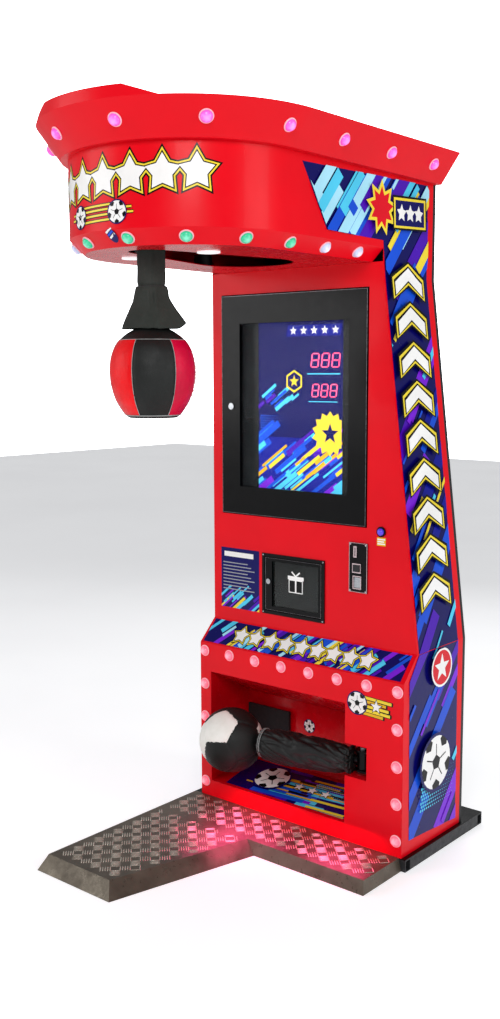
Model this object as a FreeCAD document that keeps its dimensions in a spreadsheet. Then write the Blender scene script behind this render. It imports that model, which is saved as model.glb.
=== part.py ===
import FreeCAD, Part
import os
import re

import Sketcher

# Boxing punch machine with a second, low kicker ball. X runs along the front, Y towards the
# back, Z up. X = 0 is the plane of the punch bag, Y = 0 the lower cabinet's front, Z = 0 the floor.

Vector = FreeCAD.Vector
Rotation = FreeCAD.Rotation
doc = FreeCAD.newDocument("PunchMachine")
sheet = doc.addObject("Spreadsheet::Sheet", "Sizes")

SIZES = [
    # cabinet
    ("cab_width", 825, "lower cabinet"),
    ("column_width", 686, "column and hood"),
    ("cab_depth", 367, "front face to back"),
    ("base_height", 40, "top of the floor plates"),
    ("lower_top", 587, "top of the lower front"),
    ("slope_rise", 75, "slope panel, as deep as it is high"),
    ("flare_start", 660, "where the right side starts to lean in"),
    ("flare_end", 1800, "where the right side is upright again"),
    ("hood_bottom", 1841, ""),
    ("hood_top", 2095, ""),
    ("wall", 2.5, "sheet of the casing"),
    ("rear_board", 15, "black back board"),
    # floor plates
    ("tread", 3, "tread plate"),
    ("base_left", 373, "base edge left of X = 0"),
    ("base_right", 497, "base edge right of X = 0"),
    ("base_rear", 480, ""),
    ("base_tube", 30, "width of the base tubes"),
    ("tube_wall", 3, ""),
    ("platform_reach", 190, "front platform, top edge"),
    ("ramp_run", 15, "steep front edge of the platform"),
    ("runway_reach", 665, "runway, top edge"),
    ("runway_ramp", 40, "slanted edge of the runway"),
    ("runway_near", 27, "right edge of the runway's top, at the platform"),
    ("runway_far", 99, "the same at its front end, left of X = 0"),
    ("cross_inset", 139, "platform's cross tube, from the plate's right edge"),
    # hood and crown
    ("hood_centre", 392, "centre of the hood's round front"),
    ("hood_chamfer", 40, ""),
    ("ledge", 20, "ledge under the crown"),
    ("crown_flare", 65, ""),
    ("crown_height", 90, ""),
    ("fascia_height", 30, "raised front of the crown"),
    ("fascia_flat", 145, ""),
    ("fascia_shoulder", 230, ""),
    ("cover_drop", 20, "top cover below the crown's rim"),
    # bag opening in the hood's underside
    ("bag_gap_r", 150, "wide end"),
    ("bag_gap_y", 165, ""),
    ("arm_gap_r", 62, "narrow end"),
    # punch arm
    ("punch_y", 556, "pivot in front of the lower front"),
    ("punch_z", 1915, "pivot height"),
    ("shaft_r", 12.5, ""),
    ("shaft_half", 206, ""),
    ("hub_r", 30, ""),
    ("hub_half", 45, ""),
    ("arm_r", 16, "arm tube"),
    ("sleeve_width", 66, ""),
    ("sleeve_depth", 48, ""),
    ("sleeve_top", 1872, ""),
    ("skirt_top", 1742, ""),
    ("skirt_bottom", 1644, ""),
    ("skirt_width", 128, ""),
    ("bag_r", 119, "largest radius"),
    ("bag_widest", 1514, ""),
    ("bag_bottom", 1389, ""),
    ("bag_top", 1640, ""),
    ("bag_cap_r", 66, "flat end"),
    ("running", 0.05, "radial clearance of a shaft in its hole"),
    ("latch_r", 48, "latch disc"),
    ("rail_x", 190, "middle of the hood rails"),
    ("frame_tube", 40, ""),
    # kicker
    ("recess_left", 296, ""),
    ("recess_right", 269, ""),
    ("recess_low", 97, ""),
    ("recess_high", 488, ""),
    ("recess_depth", 200, ""),
    ("recess_back_low", 140, ""),
    ("recess_back_high", 379, ""),
    ("liner", 2, "sheet of the recess"),
    ("pocket_right", 351, ""),
    ("pocket_low", 254, ""),
    ("pocket_high", 360, ""),
    ("pocket_depth", 112, ""),
    ("kick_x", 312, "pivot"),
    ("kick_y", 45, ""),
    ("kick_z", 300, "arm height"),
    ("kick_pin_r", 8, ""),
    ("kick_hub_r", 22, ""),
    ("kick_arm", 481, "pivot to ball centre"),
    ("kick_rest", 11.4, "degrees, ball in front"),
    ("kick_tube_r", 14, ""),
    ("kick_sleeve_r", 60, ""),
    ("ball_r", 108, ""),
    ("ball_drop", 12, "ball centre under the arm"),
    ("kick_pad", 20, "thickness of the stop pad"),
    # display door
    ("display_left", 303, ""),
    ("display_right", 293, ""),
    ("display_low", 1034, ""),
    ("display_high", 1769, ""),
    ("door_gap", 3, ""),
    ("door_thick", 22, ""),
    ("door_proud", 3, "doors stand this far out of the column"),
    ("door_pivot", 25, "pivot from the leaf's right edge"),
    ("door_window", 221, "half the glass opening"),
    ("door_window_low", 1131, ""),
    ("door_window_high", 1673, ""),
    ("glass", 4, ""),
    ("display_back", 115, "front of the display panel"),
    ("art_width", 344, ""),
    ("art_low", 1115, ""),
    ("art_high", 1679, ""),
    # prize door
    ("prize_left", 125, ""),
    ("prize_right", 134, ""),
    ("prize_low", 708, ""),
    ("prize_high", 913, ""),
    ("prize_trim", 5, ""),
    ("prize_thick", 14, ""),
    ("prize_pivot", 16, ""),
    ("prize_stile", 28, ""),
    ("bin_depth", 195, ""),
    # coin plate and start button
    ("coin_x", 264, ""),
    ("coin_z", 906, ""),
    ("coin_width", 68, ""),
    ("coin_height", 157, ""),
    ("coin_thick", 4, ""),
    ("start_x", 347, ""),
    ("start_z", 1027, ""),
    ("start_r", 11, ""),
    ("press", 4, "travel of the start button"),
    # lamps
    ("lamp_stem", 11, "radius"),
    ("lamp_bezel", 19, ""),
    ("lamp_dome", 16, ""),
    ("lamp_high", 13, "height of a dome"),
    ("lamp_margin", 21, "lamp centre from the cabinet's edge"),
    ("hood_lamp_pitch", 159, ""),
    ("crown_lamp_pitch", 235, ""),
    # rear
    ("service_half", 165, "half the service door's opening"),
    ("service_low", 700, ""),
    ("service_high", 1650, ""),
    ("shelf_z", 950, ""),
]

for row, (alias, value, note) in enumerate(SIZES, 1):
    sheet.set("A%d" % row, note or alias.replace("_", " "))
    sheet.set("B%d" % row, str(value))
    sheet.setAlias("B%d" % row, alias)
doc.recompute()

ALIASES = re.compile(r"\b(" + "|".join(alias for alias, value, note in SIZES) + r")\b")
parts = []


def bound(text):
    # expression text in which each plain size name points at its cell
    return ALIASES.sub(r"Sizes.\1", "(" + str(text) + ")")


def number(text):
    return float(sheet.evalExpression(bound(text)))


# places that several pieces share
LEFT = "-column_width/2"
RIGHT = "column_width/2"
RIGHT_LOW = "cab_width-column_width/2"
SLOPE_TOP = "lower_top+slope_rise"
COLUMN_Y = "slope_rise"
REAR_Y = "cab_depth-rear_board"
INLET_X = RIGHT_LOW + "-82"
LEAN = "(cab_width-column_width)/(flare_end-flare_start)"
PUNCH_Y = "-punch_y"
DOOR_Y = "slope_rise-door_proud"
CROWN_Z = "hood_top+crown_height"


def keep(piece, node):
    piece.Label = node
    parts.append(piece)
    return piece


def box(name, x, y, z):
    piece = doc.addObject("Part::Box", name)
    for side, axis, (low, high) in zip(("Length", "Width", "Height"), "xyz", (x, y, z)):
        piece.setExpression("Placement.Base." + axis, bound(low))
        piece.setExpression(side, bound("(%s)-(%s)" % (high, low)))
    return piece


TURN = {"x": Rotation(Vector(0, 1, 0), 90), "y": Rotation(Vector(1, 0, 0), -90), "z": Rotation()}


def rod(name, radius, axis, low, high, across):
    # cylinder along one axis; across gives its other two coordinates in X, Y, Z order
    piece = doc.addObject("Part::Cylinder", name)
    piece.Placement = FreeCAD.Placement(Vector(), TURN[axis])
    places = dict(zip([letter for letter in "xyz" if letter != axis], across))
    places[axis] = low
    for letter, place in places.items():
        piece.setExpression("Placement.Base." + letter, bound(place))
    piece.setExpression("Radius", bound(radius))
    piece.setExpression("Height", bound("(%s)-(%s)" % (high, low)))
    return piece


def fuse(name, pieces):
    piece = doc.addObject("Part::MultiFuse", name)
    piece.Shapes = pieces
    return piece


def cut(name, base, *tools):
    piece = doc.addObject("Part::Cut", name)
    piece.Base = base
    piece.Tool = tools[0] if len(tools) == 1 else fuse(name + "_tools", list(tools))
    return piece


def group(name, pieces):
    piece = doc.addObject("Part::Compound", name)
    piece.Links = pieces
    return piece


def common(name, base, tool):
    piece = doc.addObject("Part::Common", name)
    piece.Base = base
    piece.Tool = tool
    return piece


def tube(name, axis, x, y, z):
    # square tube, open at both ends
    spans = dict(zip("xyz", (x, y, z)))
    inner = {letter: ("(%s)+tube_wall" % low, "(%s)-tube_wall" % high) for letter, (low, high) in spans.items()}
    inner[axis] = spans[axis]
    return cut(name, box(name + "_out", x, y, z), box(name + "_in", inner["x"], inner["y"], inner["z"]))


def place_point(sketch, line, end, x, y):
    for kind, text in (("DistanceX", x), ("DistanceY", y)):
        index = sketch.addConstraint(Sketcher.Constraint(kind, -1, 1, line, end, number(text)))
        sketch.setExpression("Constraints[%d]" % index, bound(text))


def polygon(sketch, points):
    # closed outline with each corner tied to the sheet
    start = sketch.GeometryCount
    spots = [Vector(number(x), number(y), 0) for x, y in points]
    count = len(points)
    for step in range(count):
        sketch.addGeometry(Part.LineSegment(spots[step], spots[(step + 1) % count]), False)
    for step in range(count):
        after = start + (step + 1) % count
        sketch.addConstraint(Sketcher.Constraint("Coincident", start + step, 2, after, 1))
    for step, (x, y) in enumerate(points):
        place_point(sketch, start + step, 1, x, y)


def hole(sketch, x, y, radius):
    circle = Part.Circle(Vector(number(x), number(y), 0), Vector(0, 0, 1), number(radius))
    line = sketch.addGeometry(circle, False)
    index = sketch.addConstraint(Sketcher.Constraint("Radius", line, number(radius)))
    sketch.setExpression("Constraints[%d]" % index, bound(radius))
    place_point(sketch, line, 3, x, y)


def rectangle(x0, x1, y0, y1):
    return [(x0, y0), (x1, y0), (x1, y1), (x0, y1)]


PLANES = {"xy": ("XY_Plane", "z", False), "xz": ("XZ_Plane", "y", True), "yz": ("YZ_Plane", "x", False)}


def sketch_in(body, plane):
    sketch = body.newObject("Sketcher::SketchObject", body.Name + "_sketch")
    face = [item for item in body.Origin.OriginFeatures if item.Role == PLANES[plane][0]][0]
    sketch.AttachmentSupport = (face, [""])
    sketch.MapMode = "FlatFace"
    return sketch


def panel(name, plane, outline, low, high, windows=(), holes=()):
    # sheet or prism: an outline with its openings, padded from low to high across its plane
    body = doc.addObject("PartDesign::Body", name)
    sketch = sketch_in(body, plane)
    polygon(sketch, outline)
    for window in windows:
        polygon(sketch, window)
    for x, y, radius in holes:
        hole(sketch, x, y, radius)
    pad = body.newObject("PartDesign::Pad", name + "_pad")
    pad.Profile = sketch
    pad.setExpression("Length", bound("(%s)-(%s)" % (high, low)))
    pad.Reversed = PLANES[plane][2]
    body.setExpression("Placement.Base." + PLANES[plane][1], bound(low))
    return body


def turned(name, profile):
    # solid of revolution about its own Z, from (radius, height) corners that start on the axis
    body = doc.addObject("PartDesign::Body", name)
    sketch = sketch_in(body, "xz")
    polygon(sketch, profile)
    spin = body.newObject("PartDesign::Revolution", name + "_spin")
    spin.Profile = sketch
    spin.ReferenceAxis = (sketch, ["V_Axis"])
    spin.Angle = 360
    return body


def d_outline(name, half, rear, z):
    # plan outline: straight sides, round front, flat rear
    sketch = doc.addObject("Sketcher::SketchObject", name)
    sketch.setExpression("Placement.Base.z", bound(z))
    r, centre, back = number(half), -number("hood_centre"), number(rear)
    sketch.addGeometry(Part.LineSegment(Vector(r, back, 0), Vector(r, centre, 0)), False)
    sketch.addGeometry(Part.LineSegment(Vector(-r, centre, 0), Vector(-r, back, 0)), False)
    sketch.addGeometry(Part.LineSegment(Vector(-r, back, 0), Vector(r, back, 0)), False)
    front = Part.Circle(Vector(0, centre, 0), Vector(0, 0, 1), r)
    sketch.addGeometry(Part.ArcOfCircle(front, 3.14159265, 6.28318531), False)
    for first, end, second, start in ((1, 2, 2, 1), (2, 2, 0, 1), (0, 2, 3, 2), (3, 1, 1, 1)):
        sketch.addConstraint(Sketcher.Constraint("Coincident", first, end, second, start))
    sketch.addConstraint(Sketcher.Constraint("Vertical", 0))
    sketch.addConstraint(Sketcher.Constraint("Vertical", 1))
    sketch.addConstraint(Sketcher.Constraint("Horizontal", 2))
    sketch.addConstraint(Sketcher.Constraint("PointOnObject", 3, 3, -2))
    for kind, items, text in (
        ("Radius", (3,), half),
        ("DistanceY", (-1, 1, 3, 3), "-hood_centre"),
        ("DistanceY", (-1, 1, 0, 2), "-hood_centre"),
        ("DistanceY", (-1, 1, 1, 1), "-hood_centre"),
        ("DistanceY", (-1, 1, 2, 1), rear),
    ):
        index = sketch.addConstraint(Sketcher.Constraint(kind, *items, number(text)))
        sketch.setExpression("Constraints[%d]" % index, bound(text))
    return sketch


def d_solid(name, levels):
    # solid between D outlines, each given as (half width, rear, height)
    loft = doc.addObject("Part::Loft", name)
    loft.Sections = [d_outline("%s_%d" % (name, step), *level) for step, level in enumerate(levels)]
    loft.Solid = True
    loft.Ruled = True
    return loft


def door_pins(name, x, y, span, radius, reach):
    # pivot pins at the foot and head of an opening, and the holes that they need in the leaf
    low, high = span
    pins = [rod(name + "_pin_low", radius, "z", low, low + "+" + reach, (x, y)),
            rod(name + "_pin_high", radius, "z", high + "-" + reach, high, (x, y))]
    wide = radius + "+running"
    holes = [rod(name + "_pin_hole_low", wide, "z", low + "-5", low + "+" + reach + "+2", (x, y)),
             rod(name + "_pin_hole_high", wide, "z", high + "-" + reach + "-2", high + "+5", (x, y))]
    return pins, holes


# ---- lamps: stem in its hole, bezel on the face, dome in front ----

def lamp_shape(margin):
    # margin widens the stem, for the tool that drills its hole
    stem, bezel = number("lamp_stem") + margin, number("lamp_bezel")
    dome, high = number("lamp_dome"), number("lamp_high")
    if margin:
        return Part.makeCylinder(stem, 24, Vector(0, 0, -12))
    rim = 2.5
    points = [(0, -8), (stem, -8), (stem, 0), (bezel, 0), (bezel, rim), (dome, rim)]
    spots = [Vector(r, 0, z) for r, z in points]
    edges = [Part.LineSegment(a, b).toShape() for a, b in zip(spots, spots[1:])]
    ball_r = (dome ** 2 + high ** 2) / (2 * high)
    mid = Vector(dome * 0.62, 0, rim + high - ball_r + (ball_r ** 2 - (dome * 0.62) ** 2) ** 0.5)
    top = Vector(0, 0, rim + high)
    edges.append(Part.Arc(spots[-1], mid, top).toShape())
    edges.append(Part.LineSegment(top, spots[0]).toShape())
    return Part.Face(Part.Wire(edges)).revolve(Vector(), Vector(0, 0, 1), 360)


def lamp_set(name, spots, margin=0.0):
    # copies of the lamp at (point, outward direction) pairs
    shape = lamp_shape(margin)
    copies = []
    for point, outward in spots:
        copy = shape.copy()
        copy.Placement = FreeCAD.Placement(point, Rotation(Vector(0, 0, 1), outward))
        copies.append(copy)
    piece = doc.addObject("Part::Feature", name)
    piece.Shape = Part.makeCompound(copies)
    return piece


def along_outline(distance, half, rear):
    # point on a D outline counted from its rear right corner, and the outward direction there
    centre = -number("hood_centre")
    straight = rear - centre
    if distance < straight:
        return Vector(half, rear - distance, 0), Vector(1, 0, 0)
    angle = (distance - straight) / half
    if angle < 3.14159265:
        outward = Rotation(Vector(0, 0, 1), -angle * 57.2957795).multVec(Vector(1, 0, 0))
        return Vector(0, centre, 0) + outward * half, outward
    rest = distance - straight - 3.14159265 * half
    return Vector(-half, centre + rest, 0), Vector(-1, 0, 0)


def lamps_round(first, pitch, half, rear, height, drop):
    # lamps at an even pitch round a D outline; drop is how far the face looks down, per unit out
    length = 2 * (rear + number("hood_centre")) + 3.14159265 * half
    spots = []
    distance = first
    while distance < length - number("lamp_bezel"):
        point, outward = along_outline(distance, half, rear)
        spots.append((point + Vector(0, 0, height), outward - Vector(0, 0, drop)))
        distance += pitch
    return spots


half_hood = number("column_width/2-hood_chamfer/2")
hood_spots = lamps_round(
    34 + number("slope_rise"), number("hood_lamp_pitch"), half_hood, number("slope_rise"),
    number("hood_bottom+hood_chamfer/2"), 1.0)
half_crown = number("column_width/2+ledge+crown_flare/2")
crown_spots = lamps_round(
    104, number("crown_lamp_pitch"), half_crown, number("cab_depth"),
    number("hood_top+crown_height/2"), number("crown_flare/crown_height"))

lamp_left = number(LEFT + "+lamp_margin")
lamp_right = number(RIGHT_LOW + "-lamp_margin")
lamp_top = number("lower_top-28")
ROW_COUNT, COLUMN_COUNT, COLUMN_PITCH = 8, 4, 117
front_places = [(lamp_left + (lamp_right - lamp_left) * step / (ROW_COUNT - 1), lamp_top)
                for step in range(ROW_COUNT)]
for side in (lamp_left, lamp_right):
    front_places += [(side, lamp_top - COLUMN_PITCH * (step + 1)) for step in range(COLUMN_COUNT)]
front_spots = [(Vector(x, 0, z), Vector(0, -1, 0)) for x, z in front_places]

keep(lamp_set("crown_lamps", crown_spots), "crown_lamps")
keep(lamp_set("hood_lamps", hood_spots), "hood_lamps")
keep(lamp_set("front_lamps", front_spots), "front_lamps")

# ---- base: welded tubes and tread plates ----

TUBE_TOP = "base_height-tread"
base_bars = [
    tube("base_front", "x", ("-base_left", "base_right"), ("0", "base_tube"), ("0", TUBE_TOP)),
    tube("base_back", "x", ("-base_left", "base_right"), ("base_rear-base_tube", "base_rear"), ("0", TUBE_TOP)),
]
for step, x in enumerate(("-base_left", "-rail_x-base_tube/2", "rail_x-base_tube/2", "base_right-base_tube")):
    base_bars.append(tube("base_side_%d" % step, "y", (x, x + "+base_tube"),
                          ("base_tube", "base_rear-base_tube"), ("0", TUBE_TOP)))

platform_bars = [
    tube("platform_cross", "x", ("-base_left+20", RIGHT_LOW + "-cross_inset"),
         ("-platform_reach+10", "-platform_reach+10+base_tube"), ("0", TUBE_TOP)),
    tube("runway_cross", "x", ("-base_left+20", "-runway_far-30"),
         ("-runway_reach+30", "-runway_reach+30+base_tube"), ("0", TUBE_TOP)),
]
for step, x in enumerate(("-base_left+20", "-runway_far-60")):
    platform_bars.append(tube("runway_bar_%d" % step, "y", (x, x + "+base_tube"),
                              ("-runway_reach+30+base_tube", "-platform_reach-ramp_run"), ("0", TUBE_TOP)))
keep(group("base_frame", base_bars + platform_bars), "base_frame")

keep(box("base_plate", ("-base_left", "base_right"), ("0", "base_rear"), (TUBE_TOP, "base_height")),
     "base_plate")


def flat_sketch(name, points, z):
    sketch = doc.addObject("Sketcher::SketchObject", name)
    sketch.setExpression("Placement.Base.z", bound(z))
    polygon(sketch, points)
    return sketch


def tray(name, foot, top, thick):
    # plate with slanted edges: corners at the floor and at the top, hollow from below
    outer = doc.addObject("Part::Loft", name + "_out")
    outer.Sections = [flat_sketch(name + "_foot", foot, "0"), flat_sketch(name + "_top", top, "base_height")]
    inner = doc.addObject("Part::Loft", name + "_in")
    inner.Sections = [flat_sketch(name + "_foot_in", shrink(foot), "0"),
                      flat_sketch(name + "_top_in", shrink(top), "base_height-" + thick)]
    for loft in (outer, inner):
        loft.Solid = True
        loft.Ruled = True
    return cut(name, outer, inner)


def shrink(corners):
    # the same corners moved inwards by one plate thickness, order: near left, near right, far right, far left
    shifts = (("+tread", "+0"), ("-tread", "+0"), ("-tread", "+tread"), ("+tread", "+tread"))
    return [(x + dx, y + dy) for (x, y), (dx, dy) in zip(corners, shifts)]


keep(tray("front_tread_plate",
          [("-base_left", "0"), (RIGHT_LOW, "0"), (RIGHT_LOW, "-platform_reach-ramp_run"),
           ("-base_left", "-platform_reach-ramp_run")],
          [("-base_left", "0"), (RIGHT_LOW + "-9", "0"), (RIGHT_LOW + "-9", "-platform_reach"),
           ("-base_left", "-platform_reach")], "tread"), "front_tread_plate")
keep(tray("runway_tread_plate",
          [("-base_left-8", "-platform_reach-ramp_run"), ("runway_near+runway_ramp", "-platform_reach-ramp_run"),
           ("-runway_far+runway_ramp", "-runway_reach-runway_ramp"),
           ("-base_left-8", "-runway_reach-runway_ramp")],
          [("-base_left", "-platform_reach"), ("runway_near", "-platform_reach"),
           ("-runway_far", "-runway_reach"), ("-base_left", "-runway_reach")], "tread"), "runway_tread_plate")

# ---- casing panels ----

SIDE_LINE = [("0", "base_height"), (REAR_Y, "base_height"), (REAR_Y, "hood_top"), (COLUMN_Y, "hood_top"),
             (COLUMN_Y, SLOPE_TOP), ("0", "lower_top")]
keep(panel("left_side_panel", "yz", SIDE_LINE, LEFT, LEFT + "+wall"), "left_side_panel")


def right_edge(inset):
    # the right side's line from bottom to top, moved in by inset
    return [(RIGHT_LOW + "-" + inset, "base_height"), (RIGHT_LOW + "-" + inset, "flare_start"),
            (RIGHT + "-" + inset, "flare_end"), (RIGHT + "-" + inset, "hood_top")]


bent = panel("right_bent", "xz", right_edge("0") + right_edge("wall")[::-1], "0", REAR_Y)
notch = panel("right_notch", "yz", [("-5", "lower_top-5"), ("0", "lower_top"), (COLUMN_Y, SLOPE_TOP),
                                    (COLUMN_Y, "hood_top+5"), ("-5", "hood_top+5")], "200", RIGHT_LOW + "+5")
keep(cut("right_side_panel", bent, notch), "right_side_panel")

kicker_mouth = [("-recess_left", "recess_low"), ("recess_right", "recess_low"), ("recess_right", "pocket_low"),
                ("pocket_right", "pocket_low"), ("pocket_right", "pocket_high"), ("recess_right", "pocket_high"),
                ("recess_right", "recess_high"), ("-recess_left", "recess_high")]
keep(panel("lower_front_panel", "xz", rectangle(LEFT + "+wall", RIGHT_LOW + "-wall", "base_height", "lower_top"),
           "0", "wall", [kicker_mouth], [(x, z, "lamp_stem+0.3") for x, z in front_places]), "lower_front_panel")
keep(panel("slope_panel", "yz", [("0", "lower_top"), (COLUMN_Y, SLOPE_TOP), (COLUMN_Y + "+wall", SLOPE_TOP),
                                 ("wall", "lower_top")], LEFT + "+wall", RIGHT_LOW + "-wall-" + LEAN + "*2"),
     "slope_panel")

display_hole = rectangle("-display_left", "display_right", "display_low", "display_high")
prize_hole = rectangle("-prize_left+prize_trim", "prize_right-prize_trim",
                       "prize_low+prize_trim", "prize_high-prize_trim")
coin_hole = rectangle("coin_x-coin_width/2+8", "coin_x+coin_width/2-8",
                      "coin_z-coin_height/2+8", "coin_z+coin_height/2-8")
column_line = [(LEFT + "+wall", SLOPE_TOP),
               (RIGHT_LOW + "-wall-(lower_top+slope_rise-flare_start)*" + LEAN, SLOPE_TOP),
               (RIGHT + "-wall", "flare_end"), (RIGHT + "-wall", "hood_bottom"), (LEFT + "+wall", "hood_bottom")]
keep(panel("column_front_panel", "xz", column_line, COLUMN_Y, COLUMN_Y + "+wall",
           [display_hole, prize_hole, coin_hole], [("start_x", "start_z", "start_r+2.3")]), "column_front_panel")

# back board with the service opening, louvres and the inlet's cut-out
back_line = [(LEFT, "base_height"), (RIGHT_LOW, "base_height"), (RIGHT_LOW, "flare_start"),
             (RIGHT, "flare_end"), (RIGHT, "hood_top"), (LEFT, "hood_top")]
louvres = [rectangle("-130", "130", str(z), str(z + 8)) for z in range(1720, 1821, 20)]
board = panel("back_board", "xz", back_line, REAR_Y, "cab_depth",
              [rectangle("-service_half", "service_half", "service_low", "service_high"),
               rectangle(INLET_X + "-24", INLET_X + "+24", "96", "124")] + louvres)
SERVICE_X = "service_half-23"
rear_pins, rear_pin_holes = door_pins("rear", SERVICE_X, REAR_Y + "+rear_board/2",
                                      ("service_low", "service_high"), "5", "18")
keep(group("rear_panel", [board] + rear_pins), "rear_panel")

# ---- hood and crown ----

HOOD_BEND = "hood_bottom+hood_chamfer"


def hood_levels(inset):
    lip = "column_width/2-hood_chamfer-" + inset
    side = "column_width/2-" + inset
    return [(lip, COLUMN_Y, "hood_bottom"), (side, COLUMN_Y, HOOD_BEND), (side, COLUMN_Y, "hood_top")]


hood_holes = lamp_set("hood_lamp_holes", hood_spots, 0.3)
hood_skin = cut("hood_skin", d_solid("hood_out", hood_levels("0")), d_solid("hood_in", hood_levels("wall")))
keep(cut("hood_shell", hood_skin, hood_holes), "hood_shell")


def opening_prism(name, low, high):
    # opening for the bag: two round ends joined by their common tangents
    big, small = number("bag_gap_r"), number("arm_gap_r")
    far, near = Vector(0, -number("bag_gap_y"), 0), Vector(0, -number("punch_y"), 0)
    lean = (big - small) / (far.y - near.y)
    side = (1 - lean ** 2) ** 0.5
    ends = [(centre + Vector(sign * side * r, -lean * r, 0)) for centre, r in ((far, big), (near, small))
            for sign in (1, -1)]
    tip_far = far + Vector(0, big, 0)
    tip_near = near - Vector(0, small, 0)
    wire = Part.Wire([
        Part.Arc(ends[0], tip_far, ends[1]).toShape(), Part.LineSegment(ends[1], ends[3]).toShape(),
        Part.Arc(ends[3], tip_near, ends[2]).toShape(), Part.LineSegment(ends[2], ends[0]).toShape()])
    prism = Part.Face(wire).extrude(Vector(0, 0, number(high) - number(low)))
    piece = doc.addObject("Part::Feature", name)
    piece.Shape = prism
    piece.Placement = FreeCAD.Placement(Vector(0, 0, number(low)), Rotation())
    return piece


UNDER_HALF = "column_width/2-hood_chamfer-wall"
UNDER_TOP = "hood_bottom+wall"
SPOTS = ((126, -460), (-145, -485))
SPEAKERS = ((235, -90), (-235, -90))
under = d_solid("under_full", [(UNDER_HALF, COLUMN_Y, "hood_bottom"), (UNDER_HALF, COLUMN_Y, UNDER_TOP)])
under_tools = [opening_prism("bag_opening", "hood_bottom-5", UNDER_TOP + "+5")]
for step, (x, y) in enumerate(SPOTS):
    under_tools.append(rod("spot_hole_%d" % step, "25.3", "z", "hood_bottom-5", UNDER_TOP + "+5", (x, y)))
for step, (x, y) in enumerate(SPEAKERS):
    for turn in range(7):
        away = 0 if turn == 6 else 22
        dx, dy = Rotation(Vector(0, 0, 1), 60 * turn).multVec(Vector(away, 0, 0))[:2]
        under_tools.append(rod("grille_%d_%d" % (step, turn), "4", "z", "hood_bottom-5", UNDER_TOP + "+5",
                               (x + dx, y + dy)))
keep(cut("hood_underside_panel", under, *under_tools), "hood_underside_panel")


def crown_levels(inset, lift, rear):
    return [("column_width/2+ledge-" + inset, rear, "hood_top+" + lift),
            ("column_width/2+ledge+crown_flare-" + inset, rear, CROWN_Z)]


crown_out = d_solid("crown_out", crown_levels("0", "0", "cab_depth"))
crown_in = d_solid("crown_in", crown_levels("wall", "wall", "cab_depth-wall"))
crown_throat = d_solid("crown_throat", [("column_width/2-wall", "cab_depth-wall", "hood_top-1"),
                                        ("column_width/2-wall", "cab_depth-wall", "hood_top+wall+1")])
rim = "column_width/2+ledge+crown_flare"
fascia_ring = cut(
    "fascia_ring", d_solid("fascia_out", [(rim, "0", CROWN_Z), (rim, "0", CROWN_Z + "+fascia_height")]),
    d_solid("fascia_in", [(rim + "-wall", "5", CROWN_Z + "-1"),
                          (rim + "-wall", "5", CROWN_Z + "+fascia_height+1")]))
fascia_line = [("-fascia_shoulder", CROWN_Z), ("fascia_shoulder", CROWN_Z),
               ("fascia_flat", CROWN_Z + "+fascia_height"), ("-fascia_flat", CROWN_Z + "+fascia_height")]
fascia = common("fascia", fascia_ring, panel("fascia_view", "xz", fascia_line, "-1000", "-500"))
crown_skin = cut("crown_skin", crown_out, crown_in, crown_throat, lamp_set("crown_lamp_holes", crown_spots, 0.3))
keep(fuse("crown_shell", [crown_skin, fascia]), "crown_shell")

cover_half = "column_width/2+ledge-wall+crown_flare*(crown_height-cover_drop-wall)/(crown_height-wall)-0.3"
COVER_Z = CROWN_Z + "-cover_drop"
keep(d_solid("crown_top_cover", [(cover_half, "cab_depth-wall-0.3", COVER_Z),
                                 (cover_half, "cab_depth-wall-0.3", COVER_Z + "+wall")]), "crown_top_cover")

# ---- inner frame ----

RAIL_Z = "punch_z+30"
posts = []
for side in (-1, 1):
    x = "%d*rail_x-frame_tube/2" % side
    posts.append(tube("post_%d" % (side + 1), "z", (x, x + "+frame_tube"), (REAR_Y + "-52", REAR_Y + "-12"),
                      ("base_height", RAIL_Z)))
tie_x = ("-rail_x+frame_tube/2", "rail_x-frame_tube/2")
for step, z in enumerate(("600", "1740")):
    posts.append(tube("post_tie_%d" % step, "x", tie_x, (REAR_Y + "-52", REAR_Y + "-12"),
                      (z, z + "+frame_tube")))
keep(group("column_frame", posts), "column_frame")

rails = []
rail_z = (RAIL_Z, RAIL_Z + "+frame_tube")
for side in (-1, 1):
    x = "%d*rail_x-frame_tube/2" % side
    rails.append(tube("rail_%d" % (side + 1), "y", (x, x + "+frame_tube"), (PUNCH_Y + "-84", REAR_Y), rail_z))
for step, y in enumerate((PUNCH_Y + "-84", "20", REAR_Y + "-52")):
    rails.append(tube("rail_tie_%d" % step, "x", tie_x, (y, y + "+frame_tube"), rail_z))
stop_y = (PUNCH_Y + "+156", PUNCH_Y + "+156+frame_tube")
rails.append(tube("stop_bar", "x", ("-rail_x-frame_tube/2", "rail_x+frame_tube/2"), stop_y,
                  (RAIL_Z + "+frame_tube", RAIL_Z + "+frame_tube+30")))
# ears that carry the rails on the hood's side walls
for side in (-1, 1):
    inner, outer = "%d*(rail_x+frame_tube/2)" % side, "%d*(column_width/2-wall)" % side
    span = (inner, outer) if side > 0 else (outer, inner)
    rails.append(box("rail_ear_%d" % (side + 1), span, ("-300", "-250"), (RAIL_Z, RAIL_Z + "+5")))
keep(group("hood_frame", rails), "hood_frame")

STOP_LOW = "punch_z+22"
keep(rod("stop_buffer", "18", "z", STOP_LOW, RAIL_Z + "+frame_tube", ("0", PUNCH_Y + "+176")), "stop_buffer")

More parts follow.
